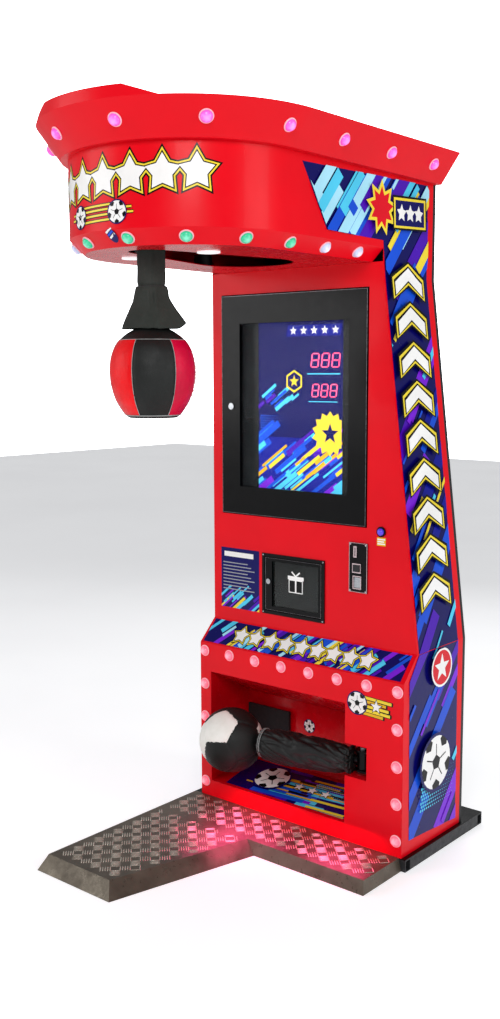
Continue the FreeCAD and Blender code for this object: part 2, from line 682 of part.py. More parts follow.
bearings = []
for side in (-1, 1):
    x = "%d*rail_x" % side
    seat = box("bearing_seat_%d" % (side + 1), (x + "-18", x + "+18"), (PUNCH_Y + "-55", PUNCH_Y + "+55"),
               (RAIL_Z + "-10", RAIL_Z))
    housing = rod("bearing_round_%d" % (side + 1), "27", "x", x + "-16", x + "+16", (PUNCH_Y, "punch_z"))
    bore = rod("bearing_bore_%d" % (side + 1), "shaft_r+running", "x", x + "-20", x + "+20",
               (PUNCH_Y, "punch_z"))
    bearings.append(cut("bearing_%d" % (side + 1), fuse("bearing_body_%d" % (side + 1), [seat, housing]), bore))
keep(group("punch_bearings", bearings), "punch_bearings")

solenoid = [
    box("solenoid_bracket", ("-170", "-118"), ("-480", "-420"), (RAIL_Z, RAIL_Z + "+4")),
    box("solenoid_coil", ("-166", "-122"), ("-474", "-426"), (RAIL_Z + "+4", RAIL_Z + "+44")),
]
keep(fuse("latch_solenoid", solenoid), "latch_solenoid")

# ---- punch arm ----

keep(rod("pivot_shaft", "shaft_r", "x", "-shaft_half", "shaft_half", (PUNCH_Y, "punch_z")), "pivot_shaft")
hub = rod("hub_round", "hub_r", "x", "-hub_half", "hub_half", (PUNCH_Y, "punch_z"))
arm_tube = rod("arm_round", "arm_r", "z", "bag_top-90", "punch_z", ("0", PUNCH_Y))
arm_hollow = rod("arm_hollow", "arm_r-3", "z", "bag_top-91", "punch_z-hub_r", ("0", PUNCH_Y))
disc = rod("latch_round", "latch_r", "x", "hub_half", "hub_half+8", (PUNCH_Y, "punch_z"))
latch_notch = box("latch_notch", ("hub_half-1", "hub_half+9"), (PUNCH_Y + "+latch_r-12", PUNCH_Y + "+latch_r+1"),
                  ("punch_z-6", "punch_z+6"))
shaft_hole = rod("hub_bore", "shaft_r", "x", "-hub_half-1", "hub_half+9", (PUNCH_Y, "punch_z"))
arm_body = fuse("arm_body", [cut("arm_pipe", arm_tube, arm_hollow), hub, disc])
keep(cut("punch_arm", arm_body, shaft_hole, latch_notch), "punch_arm")

arm_socket = rod("arm_socket", "arm_r", "z", "bag_top-90", "sleeve_top+1", ("0", PUNCH_Y))
sleeve_block = box("sleeve_block", ("-sleeve_width/2", "sleeve_width/2"),
                   (PUNCH_Y + "-sleeve_depth/2", PUNCH_Y + "+sleeve_depth/2"), ("skirt_top", "sleeve_top"))
sleeve_block.recompute()
sleeve_round = doc.addObject("Part::Fillet", "sleeve_round")
sleeve_round.Base = sleeve_block
sleeve_round.Edges = [(edge, 10, 10) for edge in (1, 3, 5, 7)]
keep(cut("arm_sleeve", sleeve_round, arm_socket), "arm_sleeve")


def ring_square(name, half_x, half_y, z):
    points = [("-" + half_x, PUNCH_Y + "-" + half_y), (half_x, PUNCH_Y + "-" + half_y),
              (half_x, PUNCH_Y + "+" + half_y), ("-" + half_x, PUNCH_Y + "+" + half_y)]
    return flat_sketch(name, points, z)


skirt = doc.addObject("Part::Loft", "skirt_loft")
skirt.Sections = [ring_square("skirt_foot", "skirt_width/2", "skirt_width/2", "skirt_bottom"),
                  ring_square("skirt_head", "sleeve_width/2", "sleeve_depth/2", "skirt_top")]
skirt.Solid = True
skirt.Ruled = True
keep(cut("bag_skirt", skirt, arm_socket), "bag_skirt")

BAG = [("0", "bag_bottom"), ("bag_cap_r", "bag_bottom"), ("bag_cap_r+8", "bag_bottom+6"),
       ("bag_r*0.86", "bag_bottom+50"), ("bag_r*0.965", "bag_bottom+86"), ("bag_r", "bag_widest"),
       ("bag_r*0.965", "bag_widest+42"), ("bag_r*0.86", "bag_widest+74"), ("bag_r*0.66", "bag_top-24"),
       ("bag_r*0.4", "bag_top-6"), ("bag_r*0.25", "bag_top"), ("0", "bag_top")]
bag = turned("bag_round", BAG)
bag.setExpression("Placement.Base.y", bound(PUNCH_Y))
keep(cut("punch_bag", bag, arm_socket), "punch_bag")

# ---- kicker recess, bracket and arm ----


def recess_line(grow):
    return [("wall", "recess_low-" + grow), ("recess_depth+" + grow, "recess_back_low-" + grow),
            ("recess_depth+" + grow, "recess_back_high+" + grow), ("wall", "recess_high+" + grow)]


def pocket(name, grow, left):
    return box(name, (left, "pocket_right+" + grow), ("wall", "pocket_depth+" + grow),
               ("pocket_low-" + grow, "pocket_high+" + grow))


liner_out = fuse("liner_out", [
    panel("recess_out", "yz", recess_line("liner"), "-recess_left-liner", "recess_right+liner"),
    pocket("pocket_out", "liner", "recess_right")])
liner_in = fuse("liner_in", [
    panel("recess_in", "yz", recess_line("0"), "-recess_left", "recess_right"),
    pocket("pocket_in", "0", "recess_right-3")])
keep(cut("kicker_recess_liner", liner_out, liner_in), "kicker_recess_liner")

pad = panel("pad_block", "xz", rectangle("-278", "-95", "222", "339"), "recess_depth-kick_pad", "recess_depth")
pad.setExpression("Placement.Base.y", bound("recess_depth-kick_pad"))
pad_fillet = pad.newObject("PartDesign::Fillet", "pad_fillet")
pad_fillet.Base = (pad.Group[1], ["Edge1", "Edge4", "Edge7", "Edge10"])
pad_fillet.Radius = 14
keep(pad, "kicker_stop_pad")

EAR = 5
EARS = ((268, 268 + EAR), (332, 332 + EAR))
bracket_pieces = [box("bracket_back", ("pocket_right-6", "pocket_right"), ("kick_y-27", "kick_y+27"),
                      ("262", "352"))]
for step, (low, high) in enumerate(EARS):
    bracket_pieces.append(box("ear_%d" % step, ("kick_x", "pocket_right-6"), ("kick_y-27", "kick_y+27"),
                              (str(low), str(high))))
    bracket_pieces.append(rod("ear_round_%d" % step, "27", "z", str(low), str(high), ("kick_x", "kick_y")))
pin_hole = rod("bracket_hole", "kick_pin_r", "z", "260", "350", ("kick_x", "kick_y"))
keep(cut("kicker_bracket", fuse("bracket_body", bracket_pieces), pin_hole), "kicker_bracket")
keep(fuse("kicker_pivot_pin", [
    rod("pin_round", "kick_pin_r", "z", "263", "337", ("kick_x", "kick_y")),
    rod("pin_head", "kick_pin_r+5", "z", "337", "343", ("kick_x", "kick_y"))]), "kicker_pivot_pin")


def on_arm(piece):
    # piece was built along -X from the pivot; swing it to the arm's rest angle
    piece.Placement = FreeCAD.Placement(Vector(), Rotation(Vector(0, 0, 1), 0))
    piece.setExpression("Placement.Base.x", bound("kick_x"))
    piece.setExpression("Placement.Base.y", bound("kick_y"))
    piece.setExpression("Placement.Base.z", bound("kick_z"))
    piece.setExpression("Placement.Rotation.Angle", bound("kick_rest"))
    return piece


kick_tube = rod("kick_tube", "kick_tube_r", "x", "-kick_arm+60", "0", ("0", "0"))
kick_hub = rod("kick_hub", "kick_hub_r", "z", "-26", "31", ("0", "0"))
kick_bore = rod("kick_bore", "kick_pin_r+running", "z", "-40", "40", ("0", "0"))
keep(on_arm(cut("kicker_arm", fuse("kick_weld", [kick_tube, kick_hub]), kick_bore)), "kicker_arm")

tube_space = rod("kick_tube_space", "kick_tube_r", "x", "-kick_arm+60", "0", ("0", "0"))
ball = doc.addObject("Part::Sphere", "ball_round")
ball.setExpression("Radius", bound("ball_r"))
ball.setExpression("Placement.Base.x", bound("-kick_arm"))
ball.setExpression("Placement.Base.z", bound("-ball_drop"))
keep(on_arm(cut("kicker_ball", ball, tube_space)), "kicker_ball")

SLEEVE = [("0", "32"), ("36", "32"), ("kick_sleeve_r*0.83", "62"), ("kick_sleeve_r", "120"),
          ("kick_sleeve_r", "250"), ("kick_sleeve_r*0.92", "330"), ("kick_sleeve_r*0.8", "366"), ("0", "366")]
sleeve_spin = turned("kick_sleeve_round", SLEEVE)
sleeve_spin.Placement = FreeCAD.Placement(Vector(), Rotation(Vector(0, 1, 0), -90))
keep(on_arm(cut("kicker_sleeve", sleeve_spin, tube_space)), "kicker_sleeve")

# ---- display: fixed surround, door, panel ----


def four_sides(name, outer, inner, y):
    # lengths that make a rectangular surround: full-height uprights, head and foot butted between them
    (left, right), (low, high) = outer
    (in_left, in_right), (in_low, in_high) = inner
    return [box(name + "_left", (left, in_left), y, (low, high)),
            box(name + "_right", (in_right, right), y, (low, high)),
            box(name + "_foot", (in_left, in_right), y, (low, in_low)),
            box(name + "_head", (in_left, in_right), y, (in_high, high))]


display_in = (("-display_left", "display_right"), ("display_low", "display_high"))
display_out = (("-display_left-15", "display_right+15"), ("display_low-15", "display_high+15"))
art = (("-art_width/2", "art_width/2"), ("art_low", "art_high"))
DOOR_BACK = DOOR_Y + "+door_thick"
surround = four_sides("surround", display_out, display_in, (COLUMN_Y + "+wall", "display_back-3"))
surround[0] = fuse("surround_strike_side", [
    surround[0], box("surround_strike", ("-display_left", "-display_left+18"),
                     (DOOR_BACK + "+1", DOOR_BACK + "+4"), ("1300", "1500"))])
surround.append(cut("surround_mask",
                    box("mask_sheet", display_out[0], ("display_back-3", "display_back"), display_out[1]),
                    box("mask_window", art[0], ("display_back-4", "display_back+1"), art[1])))

SCORES = ((100, 1551), (100, 1457))
score_windows = [rectangle(str(x - 62), str(x + 62), str(z - 28), str(z + 28)) for x, z in SCORES]
keep(panel("display_panel", "xz", rectangle("-art_width/2-12", "art_width/2+12", "art_low-12", "art_high+12"),
           "display_back", "display_back+4", score_windows), "display_panel")
modules = []
for step, (x, z) in enumerate(SCORES):
    face = box("score_face_%d" % step, (str(x - 61.5), str(x + 61.5)), ("display_back-1", "display_back+4"),
               (str(z - 27.5), str(z + 27.5)))
    board = box("score_board_%d" % step, (str(x - 70), str(x + 70)), ("display_back+4", "display_back+12"),
                (str(z - 35), str(z + 35)))
    modules.append(fuse("score_%d" % step, [face, board]))
keep(group("score_displays", modules), "score_displays")

leaf_x = ("-display_left+door_gap", "display_right-door_gap")
leaf_z = ("display_low+door_gap", "display_high-door_gap")
leaf_y = (DOOR_Y, DOOR_Y + "+door_thick")
GLASS_Y = DOOR_Y + "+12"
window = box("door_window", ("-door_window", "door_window"), ("0", "200"),
             ("door_window_low", "door_window_high"))
rebate = box("door_rebate", ("-door_window-6", "door_window+6"), (GLASS_Y, "200"),
             ("door_window_low-6", "door_window_high+6"))
LOCK_X, LOCK_Z, LOCK_R = "-257", "1400", "9"
lock_hole = rod("display_lock_hole", LOCK_R + "+running", "y", DOOR_Y + "-20", DOOR_BACK + "+20",
                (LOCK_X, LOCK_Z))
DOOR_MID = DOOR_Y + "+door_thick/2"
PIVOT_X = "display_right-door_gap-door_pivot"
pivot_pins, pivot_holes = door_pins("display", PIVOT_X, DOOR_MID, display_in[1], "5", "18")
leaf = box("door_leaf", leaf_x, leaf_y, leaf_z)
keep(cut("display_door_frame", leaf, window, rebate, lock_hole, *pivot_holes), "display_door_frame")
keep(box("display_door_glass", ("-door_window-5.7", "door_window+5.7"), (GLASS_Y, GLASS_Y + "+glass"),
         ("door_window_low-5.7", "door_window_high+5.7")), "display_door_glass")
keep(group("display_frame", surround + pivot_pins), "display_frame")


def lock(name, x, z, radius, front, back, cam, half):
    # lock barrel along Y with its cam behind the leaf, pointing down
    barrel = rod(name + "_barrel", radius, "y", front, back, (x, z))
    collar = rod(name + "_collar", radius + "+2", "y", front, "(%s)+2" % front, (x, z))
    tongue = box(name + "_cam", (x + "-" + half, x + "+" + half), ("(%s)-2.5" % back, back),
                 ("(%s)-%s" % (z, cam), z))
    return keep(fuse(name, [barrel, collar, tongue]), name)


lock("display_lock", LOCK_X, LOCK_Z, LOCK_R, DOOR_Y + "-4", DOOR_BACK + "+7.5", "38", "7")

# ---- prize door and bin ----

prize_out = (("-prize_left", "prize_right"), ("prize_low", "prize_high"))
prize_mid = (("-prize_left+prize_trim", "prize_right-prize_trim"),
             ("prize_low+prize_trim", "prize_high-prize_trim"))
prize_in = (("-prize_left+prize_trim*2+1", "prize_right-prize_trim*2-1"),
            ("prize_low+prize_trim*2+1", "prize_high-prize_trim*2-1"))
BIN_Y = COLUMN_Y + "+30"
PRIZE_FRONT = COLUMN_Y + "-2"
PRIZE_BACK = PRIZE_FRONT + "+prize_thick"
prize_angles = [
    fuse("prize_angle_%d" % step, [flange, throat]) for step, (flange, throat) in enumerate(zip(
        four_sides("prize_flange", prize_out, prize_in, (COLUMN_Y + "-4", COLUMN_Y)),
        four_sides("prize_throat", prize_mid, prize_in, (COLUMN_Y, BIN_Y))))]
prize_angles[0] = fuse("prize_strike_side", [
    prize_angles[0], box("prize_strike", ("-prize_left+prize_trim*2+1", "-prize_left+prize_trim*2+9"),
                         (PRIZE_BACK + "+3", PRIZE_BACK + "+5"), ("790", "850"))])
PRIZE_RIGHT = "prize_right-prize_trim*2-3"
PRIZE_LEFT = "-prize_left+prize_trim*2+3"
PRIZE_MID = PRIZE_FRONT + "+prize_thick/2"
PRIZE_PIVOT = PRIZE_RIGHT + "-prize_pivot"
prize_pins, prize_pin_holes = door_pins("prize", PRIZE_PIVOT, PRIZE_MID, prize_in[1], "3", "10")
keep(group("prize_frame", prize_angles + prize_pins), "prize_frame")
prize_leaf_z = ("prize_low+prize_trim*2+3", "prize_high-prize_trim*2-3")
prize_leaf_y = (PRIZE_FRONT, PRIZE_BACK)
prize_glass_x = (PRIZE_LEFT + "+prize_stile", PRIZE_RIGHT + "-13")
prize_glass_z = ("prize_low+27", "prize_high-25")
prize_leaf = box("prize_leaf", (PRIZE_LEFT, PRIZE_RIGHT), prize_leaf_y, prize_leaf_z)
prize_window = box("prize_window", prize_glass_x, ("0", "200"), prize_glass_z)
prize_rebate = box("prize_rebate", (prize_glass_x[0] + "-4", prize_glass_x[1] + "+4"), (COLUMN_Y + "+6", "200"),
                   (prize_glass_z[0] + "-4", prize_glass_z[1] + "+4"))
PRIZE_LOCK_X, PRIZE_LOCK_Z, PRIZE_LOCK_R = "-97", "819", "7"
prize_lock_hole = rod("prize_lock_hole", PRIZE_LOCK_R + "+running", "y", PRIZE_FRONT + "-20", PRIZE_BACK + "+20",
                      (PRIZE_LOCK_X, PRIZE_LOCK_Z))
keep(cut("prize_door_frame", prize_leaf, prize_window, prize_rebate, prize_lock_hole, *prize_pin_holes),
     "prize_door_frame")
keep(box("prize_door_glass", (prize_glass_x[0] + "-3.7", prize_glass_x[1] + "+3.7"),
         (COLUMN_Y + "+6", COLUMN_Y + "+6+glass"), (prize_glass_z[0] + "-3.7", prize_glass_z[1] + "+3.7")),
     "prize_door_glass")
lock("prize_lock", PRIZE_LOCK_X, PRIZE_LOCK_Z, PRIZE_LOCK_R, COLUMN_Y + "-6", PRIZE_BACK + "+8", "15", "4")

bin_out = box("bin_out", prize_mid[0], (BIN_Y, BIN_Y + "+bin_depth"), prize_mid[1])
bin_in = box("bin_in", prize_in[0], (BIN_Y + "-1", BIN_Y + "+bin_depth-liner"), prize_in[1])
keep(cut("prize_bin", bin_out, bin_in), "prize_bin")

# ---- coin plate, coin path and start button ----

coin_z = ("coin_z-coin_height/2", "coin_z+coin_height/2")
coin_face = COLUMN_Y + "-coin_thick"
BUTTON_Z = "coin_z-2"
plate_pieces = [
    box("coin_sheet", ("coin_x-coin_width/2", "coin_x+coin_width/2"), (coin_face, COLUMN_Y), coin_z),
    box("slot_bar", ("coin_x-16", "coin_x-4"), (coin_face + "-3", coin_face), ("coin_z+32", "coin_z+68")),
    box("button_bezel", ("coin_x-20", "coin_x+12"), (coin_face + "-3", coin_face),
        (BUTTON_Z + "-15", BUTTON_Z + "+15")),
    box("cup_frame", ("coin_x-18", "coin_x+14"), (coin_face + "-3", coin_face), ("coin_z-68", "coin_z-26")),
]
plate_tools = [
    box("coin_slot", ("coin_x-11.7", "coin_x-8.3"), ("50", "90"), ("coin_z+36", "coin_z+64")),
    box("button_hole", ("coin_x-16.4", "coin_x+8.4"), ("50", "90"), (BUTTON_Z + "-11.4", BUTTON_Z + "+11.4")),
    box("cup_hole", ("coin_x-15", "coin_x+11"), ("50", "90"), ("coin_z-65", "coin_z-29")),
]
for step, (dx, dz) in enumerate(((-1, -1), (-1, 1), (1, -1), (1, 1))):
    at = ("coin_x+%d*(coin_width/2-5)" % dx, "coin_z+%d*(coin_height/2-5)" % dz)
    plate_pieces.append(rod("plate_screw_%d" % step, "3", "y", coin_face + "-1.5", coin_face, at))
keep(cut("coin_plate", fuse("plate_body", plate_pieces), *plate_tools), "coin_plate")
keep(box("coin_return_button", ("coin_x-16", "coin_x+8"), (coin_face + "-6", coin_face + "+8"),
         (BUTTON_Z + "-11", BUTTON_Z + "+11")), "coin_return_button")
FLAP_Z = "coin_z-33"
keep(fuse("coin_return_flap", [
    box("flap_sheet", ("coin_x-14.5", "coin_x+10.5"), (coin_face, coin_face + "+2"), ("coin_z-64", FLAP_Z)),
    rod("flap_pin", "2", "x", "coin_x-14.5", "coin_x+10.5", (coin_face + "+2", FLAP_Z))]), "coin_return_flap")

mech_y = (COLUMN_Y, COLUMN_Y + "+70")
mech = box("mech_block", ("coin_x-coin_width/2+9", "coin_x+coin_width/2-9"), mech_y,
           ("coin_z-coin_height/2+9", "coin_z+coin_height/2-9"))
mech_tools = [
    box("mech_slot", ("coin_x-12.5", "coin_x-7.5"), ("50", "120"), ("coin_z+35", "coin_z+65")),
    box("mech_button", ("coin_x-17", "coin_x+9"), ("50", COLUMN_Y + "+12"),
        (BUTTON_Z + "-12", BUTTON_Z + "+12")),
    box("mech_cup", ("coin_x-15", "coin_x+11"), ("50", COLUMN_Y + "+48"), ("coin_z-66", "coin_z-28")),
]
chute = tube("coin_chute", "z", ("coin_x-16", "coin_x+16"), (COLUMN_Y + "+20", COLUMN_Y + "+60"),
             ("660", "coin_z-coin_height/2+9"))
keep(fuse("coin_validator", [cut("mech", mech, *mech_tools), chute]), "coin_validator")
CASH_Z = "recess_high+12"
POST_FRONT = REAR_Y + "-52"
cash_out = box("cash_out", ("coin_x-76", "coin_x+30"), (COLUMN_Y + "+12", POST_FRONT), (CASH_Z, CASH_Z + "+140"))
cash_in = box("cash_in", ("coin_x-74", "coin_x+28"), (COLUMN_Y + "+14", POST_FRONT + "-2"),
              (CASH_Z + "+2", "700"))
keep(cut("coin_box", cash_out, cash_in), "coin_box")

housing_pieces = [
    rod("start_ring", "start_r+5", "y", COLUMN_Y + "-4", COLUMN_Y, ("start_x", "start_z")),
    rod("start_barrel", "start_r+2", "y", COLUMN_Y, COLUMN_Y + "+30", ("start_x", "start_z"))]
start_bore = rod("start_bore", "start_r+0.3", "y", COLUMN_Y + "-5", COLUMN_Y + "+14+press",
                 ("start_x", "start_z"))
keep(cut("start_button_housing", fuse("start_body", housing_pieces), start_bore), "start_button_housing")
cap_dome = doc.addObject("Part::Sphere", "cap_dome")
cap_dome.setExpression("Radius", bound("start_r*1.2"))
for letter, text in zip("xyz", ("start_x", COLUMN_Y + "-1", "start_z")):
    cap_dome.setExpression("Placement.Base." + letter, bound(text))
cap_core = rod("cap_core", "start_r", "y", COLUMN_Y + "-30", COLUMN_Y + "-1", ("start_x", "start_z"))
cap_stem = rod("cap_stem", "start_r", "y", COLUMN_Y + "-1", COLUMN_Y + "+12", ("start_x", "start_z"))
keep(fuse("start_button_cap", [common("cap_front", cap_dome, cap_core), cap_stem]), "start_button_cap")

# ---- hood fittings ----

spots = [fuse("spot_%d" % step, [
    rod("spot_lens_%d" % step, "32", "z", "hood_bottom-4", "hood_bottom", (x, y)),
    rod("spot_can_%d" % step, "25", "z", "hood_bottom", "hood_bottom+45", (x, y))])
    for step, (x, y) in enumerate(SPOTS)]
keep(group("downlights", spots), "downlights")
cones = [fuse("speaker_%d" % step, [
    rod("speaker_rim_%d" % step, "45", "z", UNDER_TOP, UNDER_TOP + "+6", (x, y)),
    rod("speaker_magnet_%d" % step, "28", "z", UNDER_TOP + "+6", UNDER_TOP + "+40", (x, y))])
    for step, (x, y) in enumerate(SPEAKERS)]
keep(group("speakers", cones), "speakers")

# ---- rear door, electronics ----

rear_leaf = box("rear_leaf", ("-service_half+door_gap", "service_half-door_gap"), (REAR_Y, "cab_depth"),
                ("service_low+door_gap", "service_high-door_gap"))
REAR_LOCK_X, REAR_LOCK_Z = "-service_half+25", "1175"
rear_lock_hole = rod("rear_lock_hole", LOCK_R + "+running", "y", REAR_Y + "-20", "cab_depth+20",
                     (REAR_LOCK_X, REAR_LOCK_Z))
keep(cut("rear_door", rear_leaf, rear_lock_hole, *rear_pin_holes), "rear_door")
keep(fuse("rear_door_lock", [
    rod("rear_barrel", LOCK_R, "y", REAR_Y + "-3.5", "cab_depth+3", (REAR_LOCK_X, REAR_LOCK_Z)),
    rod("rear_collar", LOCK_R + "+2", "y", "cab_depth", "cab_depth+3", (REAR_LOCK_X, REAR_LOCK_Z)),
    box("rear_cam", (REAR_LOCK_X + "-7", REAR_LOCK_X + "+7"), (REAR_Y + "-3.5", REAR_Y + "-1"),
        (REAR_LOCK_Z + "-36", REAR_LOCK_Z))]), "rear_door_lock")

keep(box("electronics_shelf", (LEFT + "+wall", "180"), ("190", POST_FRONT), ("shelf_z", "shelf_z+wall")),
     "electronics_shelf")
SHELF = "shelf_z+wall"
keep(box("power_supply", ("-320", "-200"), ("200", "290"), (SHELF, SHELF + "+60")), "power_supply")
board_pieces = [box("board_sheet", ("-160", "20"), ("200", "290"), (SHELF + "+10", SHELF + "+12"))]
for step, (x, y) in enumerate(((-150, 208), (10, 208), (-150, 282), (10, 282))):
    board_pieces.append(rod("standoff_%d" % step, "3", "z", SHELF, SHELF + "+10", (x, y)))
for step, (x, y, size) in enumerate(((-130, 230, 24), (-80, 225, 34), (-25, 240, 26))):
    board_pieces.append(box("chip_%d" % step, (x, x + size), (y, y + size), (SHELF + "+12", SHELF + "+16")))
keep(fuse("control_board", board_pieces), "control_board")

inlet_pieces = [
    box("inlet_flange", (INLET_X + "-30", INLET_X + "+30"), ("cab_depth", "cab_depth+3"), ("92", "128")),
    box("inlet_body", (INLET_X + "-23.7", INLET_X + "+23.7"), (REAR_Y + "-10", "cab_depth"), ("96.3", "123.7"))]
inlet_socket = box("inlet_socket", (INLET_X + "-16", INLET_X + "+12"), ("cab_depth-14", "cab_depth+4"),
                   ("101", "119"))
keep(cut("power_inlet", fuse("inlet_block", inlet_pieces), inlet_socket), "power_inlet")

doc.recompute()
faults = [item.Name for item in doc.Objects if "Invalid" in item.State or "Error" in item.State]
if faults:
    raise RuntimeError("objects with errors: " + ", ".join(faults))
os.makedirs("parts", exist_ok=True)
for piece in parts:
    if piece.Shape.isNull() or not piece.Shape.isValid():
        raise RuntimeError("bad shape: " + piece.Label)
for piece in parts:
    piece.Shape.exportStep("parts/%s.step" % piece.Label)
print(len(parts), "parts written")
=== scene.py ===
import bpy
import bmesh
import math
import random
import numpy as np
from mathutils import Vector, Matrix, noise


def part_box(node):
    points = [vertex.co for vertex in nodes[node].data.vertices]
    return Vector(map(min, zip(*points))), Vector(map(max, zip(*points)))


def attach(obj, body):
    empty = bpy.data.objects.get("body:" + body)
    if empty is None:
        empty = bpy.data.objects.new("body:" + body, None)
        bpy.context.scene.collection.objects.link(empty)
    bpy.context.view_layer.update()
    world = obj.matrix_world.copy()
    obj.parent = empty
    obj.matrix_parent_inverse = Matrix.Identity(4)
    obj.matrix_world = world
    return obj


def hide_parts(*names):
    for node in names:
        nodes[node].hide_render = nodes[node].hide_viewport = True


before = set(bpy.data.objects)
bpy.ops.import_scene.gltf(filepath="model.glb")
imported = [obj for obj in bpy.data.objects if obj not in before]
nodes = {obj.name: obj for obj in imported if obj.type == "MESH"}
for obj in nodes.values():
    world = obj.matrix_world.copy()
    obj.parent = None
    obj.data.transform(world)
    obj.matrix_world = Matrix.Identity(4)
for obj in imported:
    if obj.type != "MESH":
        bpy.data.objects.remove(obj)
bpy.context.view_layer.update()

# camera and light first
view = {"place": (2.160, -2.701, 1.516), "tilt": 82.75, "roll": 0.17, "turn": 40.11, "lens": 38.32}
eye = bpy.data.cameras.new("eye")
eye.lens = view["lens"]
eye.sensor_width = 36
eyeObject = bpy.data.objects.new("eye", eye)
eyeObject.location = view["place"]
eyeObject.rotation_euler = [math.radians(view[key]) for key in ("tilt", "roll", "turn")]
bpy.context.scene.collection.objects.link(eyeObject)
bpy.context.scene.camera = eyeObject
lamps = {
    "keyLight": {"place": (2.6, -3.4, 3.3), "aim": (0, -0.1, 1.2), "size": 1.6, "power": 88},
    "fillLight": {"place": (-2.8, -3.2, 2.2), "aim": (0, 0, 1.0), "size": 2.2, "power": 45},
    "sideLight": {"place": (3.6, 0.4, 2.0), "aim": (0.3, 0.1, 1.1), "size": 1.6, "power": 38},
    "backLight": {"place": (-1.0, 3.0, 3.0), "aim": (0, 0, 1.5), "size": 2.2, "power": 40},
    "pinkGlow": {"place": (-0.04, -0.17, 0.11), "aim": (-0.04, -0.17, 0.0), "size": 0.26, "power": 1.3, "colour": (1, 0.08, 0.25)},
    "pinkGlowRight": {"place": (0.30, -0.13, 0.10), "aim": (0.30, -0.13, 0.0), "size": 0.20, "power": 0.8, "colour": (1, 0.08, 0.25)},
}
for name, lamp in lamps.items():
    light = bpy.data.lights.new(name, "AREA")
    light.size = lamp["size"]
    light.energy = lamp["power"]
    light.color = lamp.get("colour", (1, 1, 1))
    holder = bpy.data.objects.new(name, light)
    holder.location = lamp["place"]
    holder.rotation_euler = (Vector(lamp["aim"]) - Vector(lamp["place"])).to_track_quat("-Z", "Y").to_euler()
    bpy.context.scene.collection.objects.link(holder)
world = bpy.data.worlds.new("studio")
world.use_nodes = True
sky = world.node_tree
sky.nodes["Background"].inputs[0].default_value = (0.95, 0.97, 1.0, 1)
seen = sky.nodes.new("ShaderNodeLightPath")
strength = sky.nodes.new("ShaderNodeMapRange")
strength.inputs["To Min"].default_value = 0.32
strength.inputs["To Max"].default_value = 3.2
sky.links.new(seen.outputs["Is Camera Ray"], strength.inputs["Value"])
sky.links.new(strength.outputs[0], sky.nodes["Background"].inputs[1])
bpy.context.scene.world = world
bpy.context.scene.view_settings.view_transform = "Standard"
print("stage: camera and light")


def linear(code):
    values = [int(code[i:i + 2], 16) / 255 for i in (0, 2, 4)]
    return tuple(v / 12.92 if v <= 0.04045 else ((v + 0.055) / 1.055) ** 2.4 for v in values) + (1.0,)


def addNode(tree, kind, **values):
    node = tree.nodes.new(kind)
    for key, value in values.items():
        if hasattr(node, key):
            setattr(node, key, value)
        else:
            node.inputs[key.replace("_", " ")].default_value = value
    return node


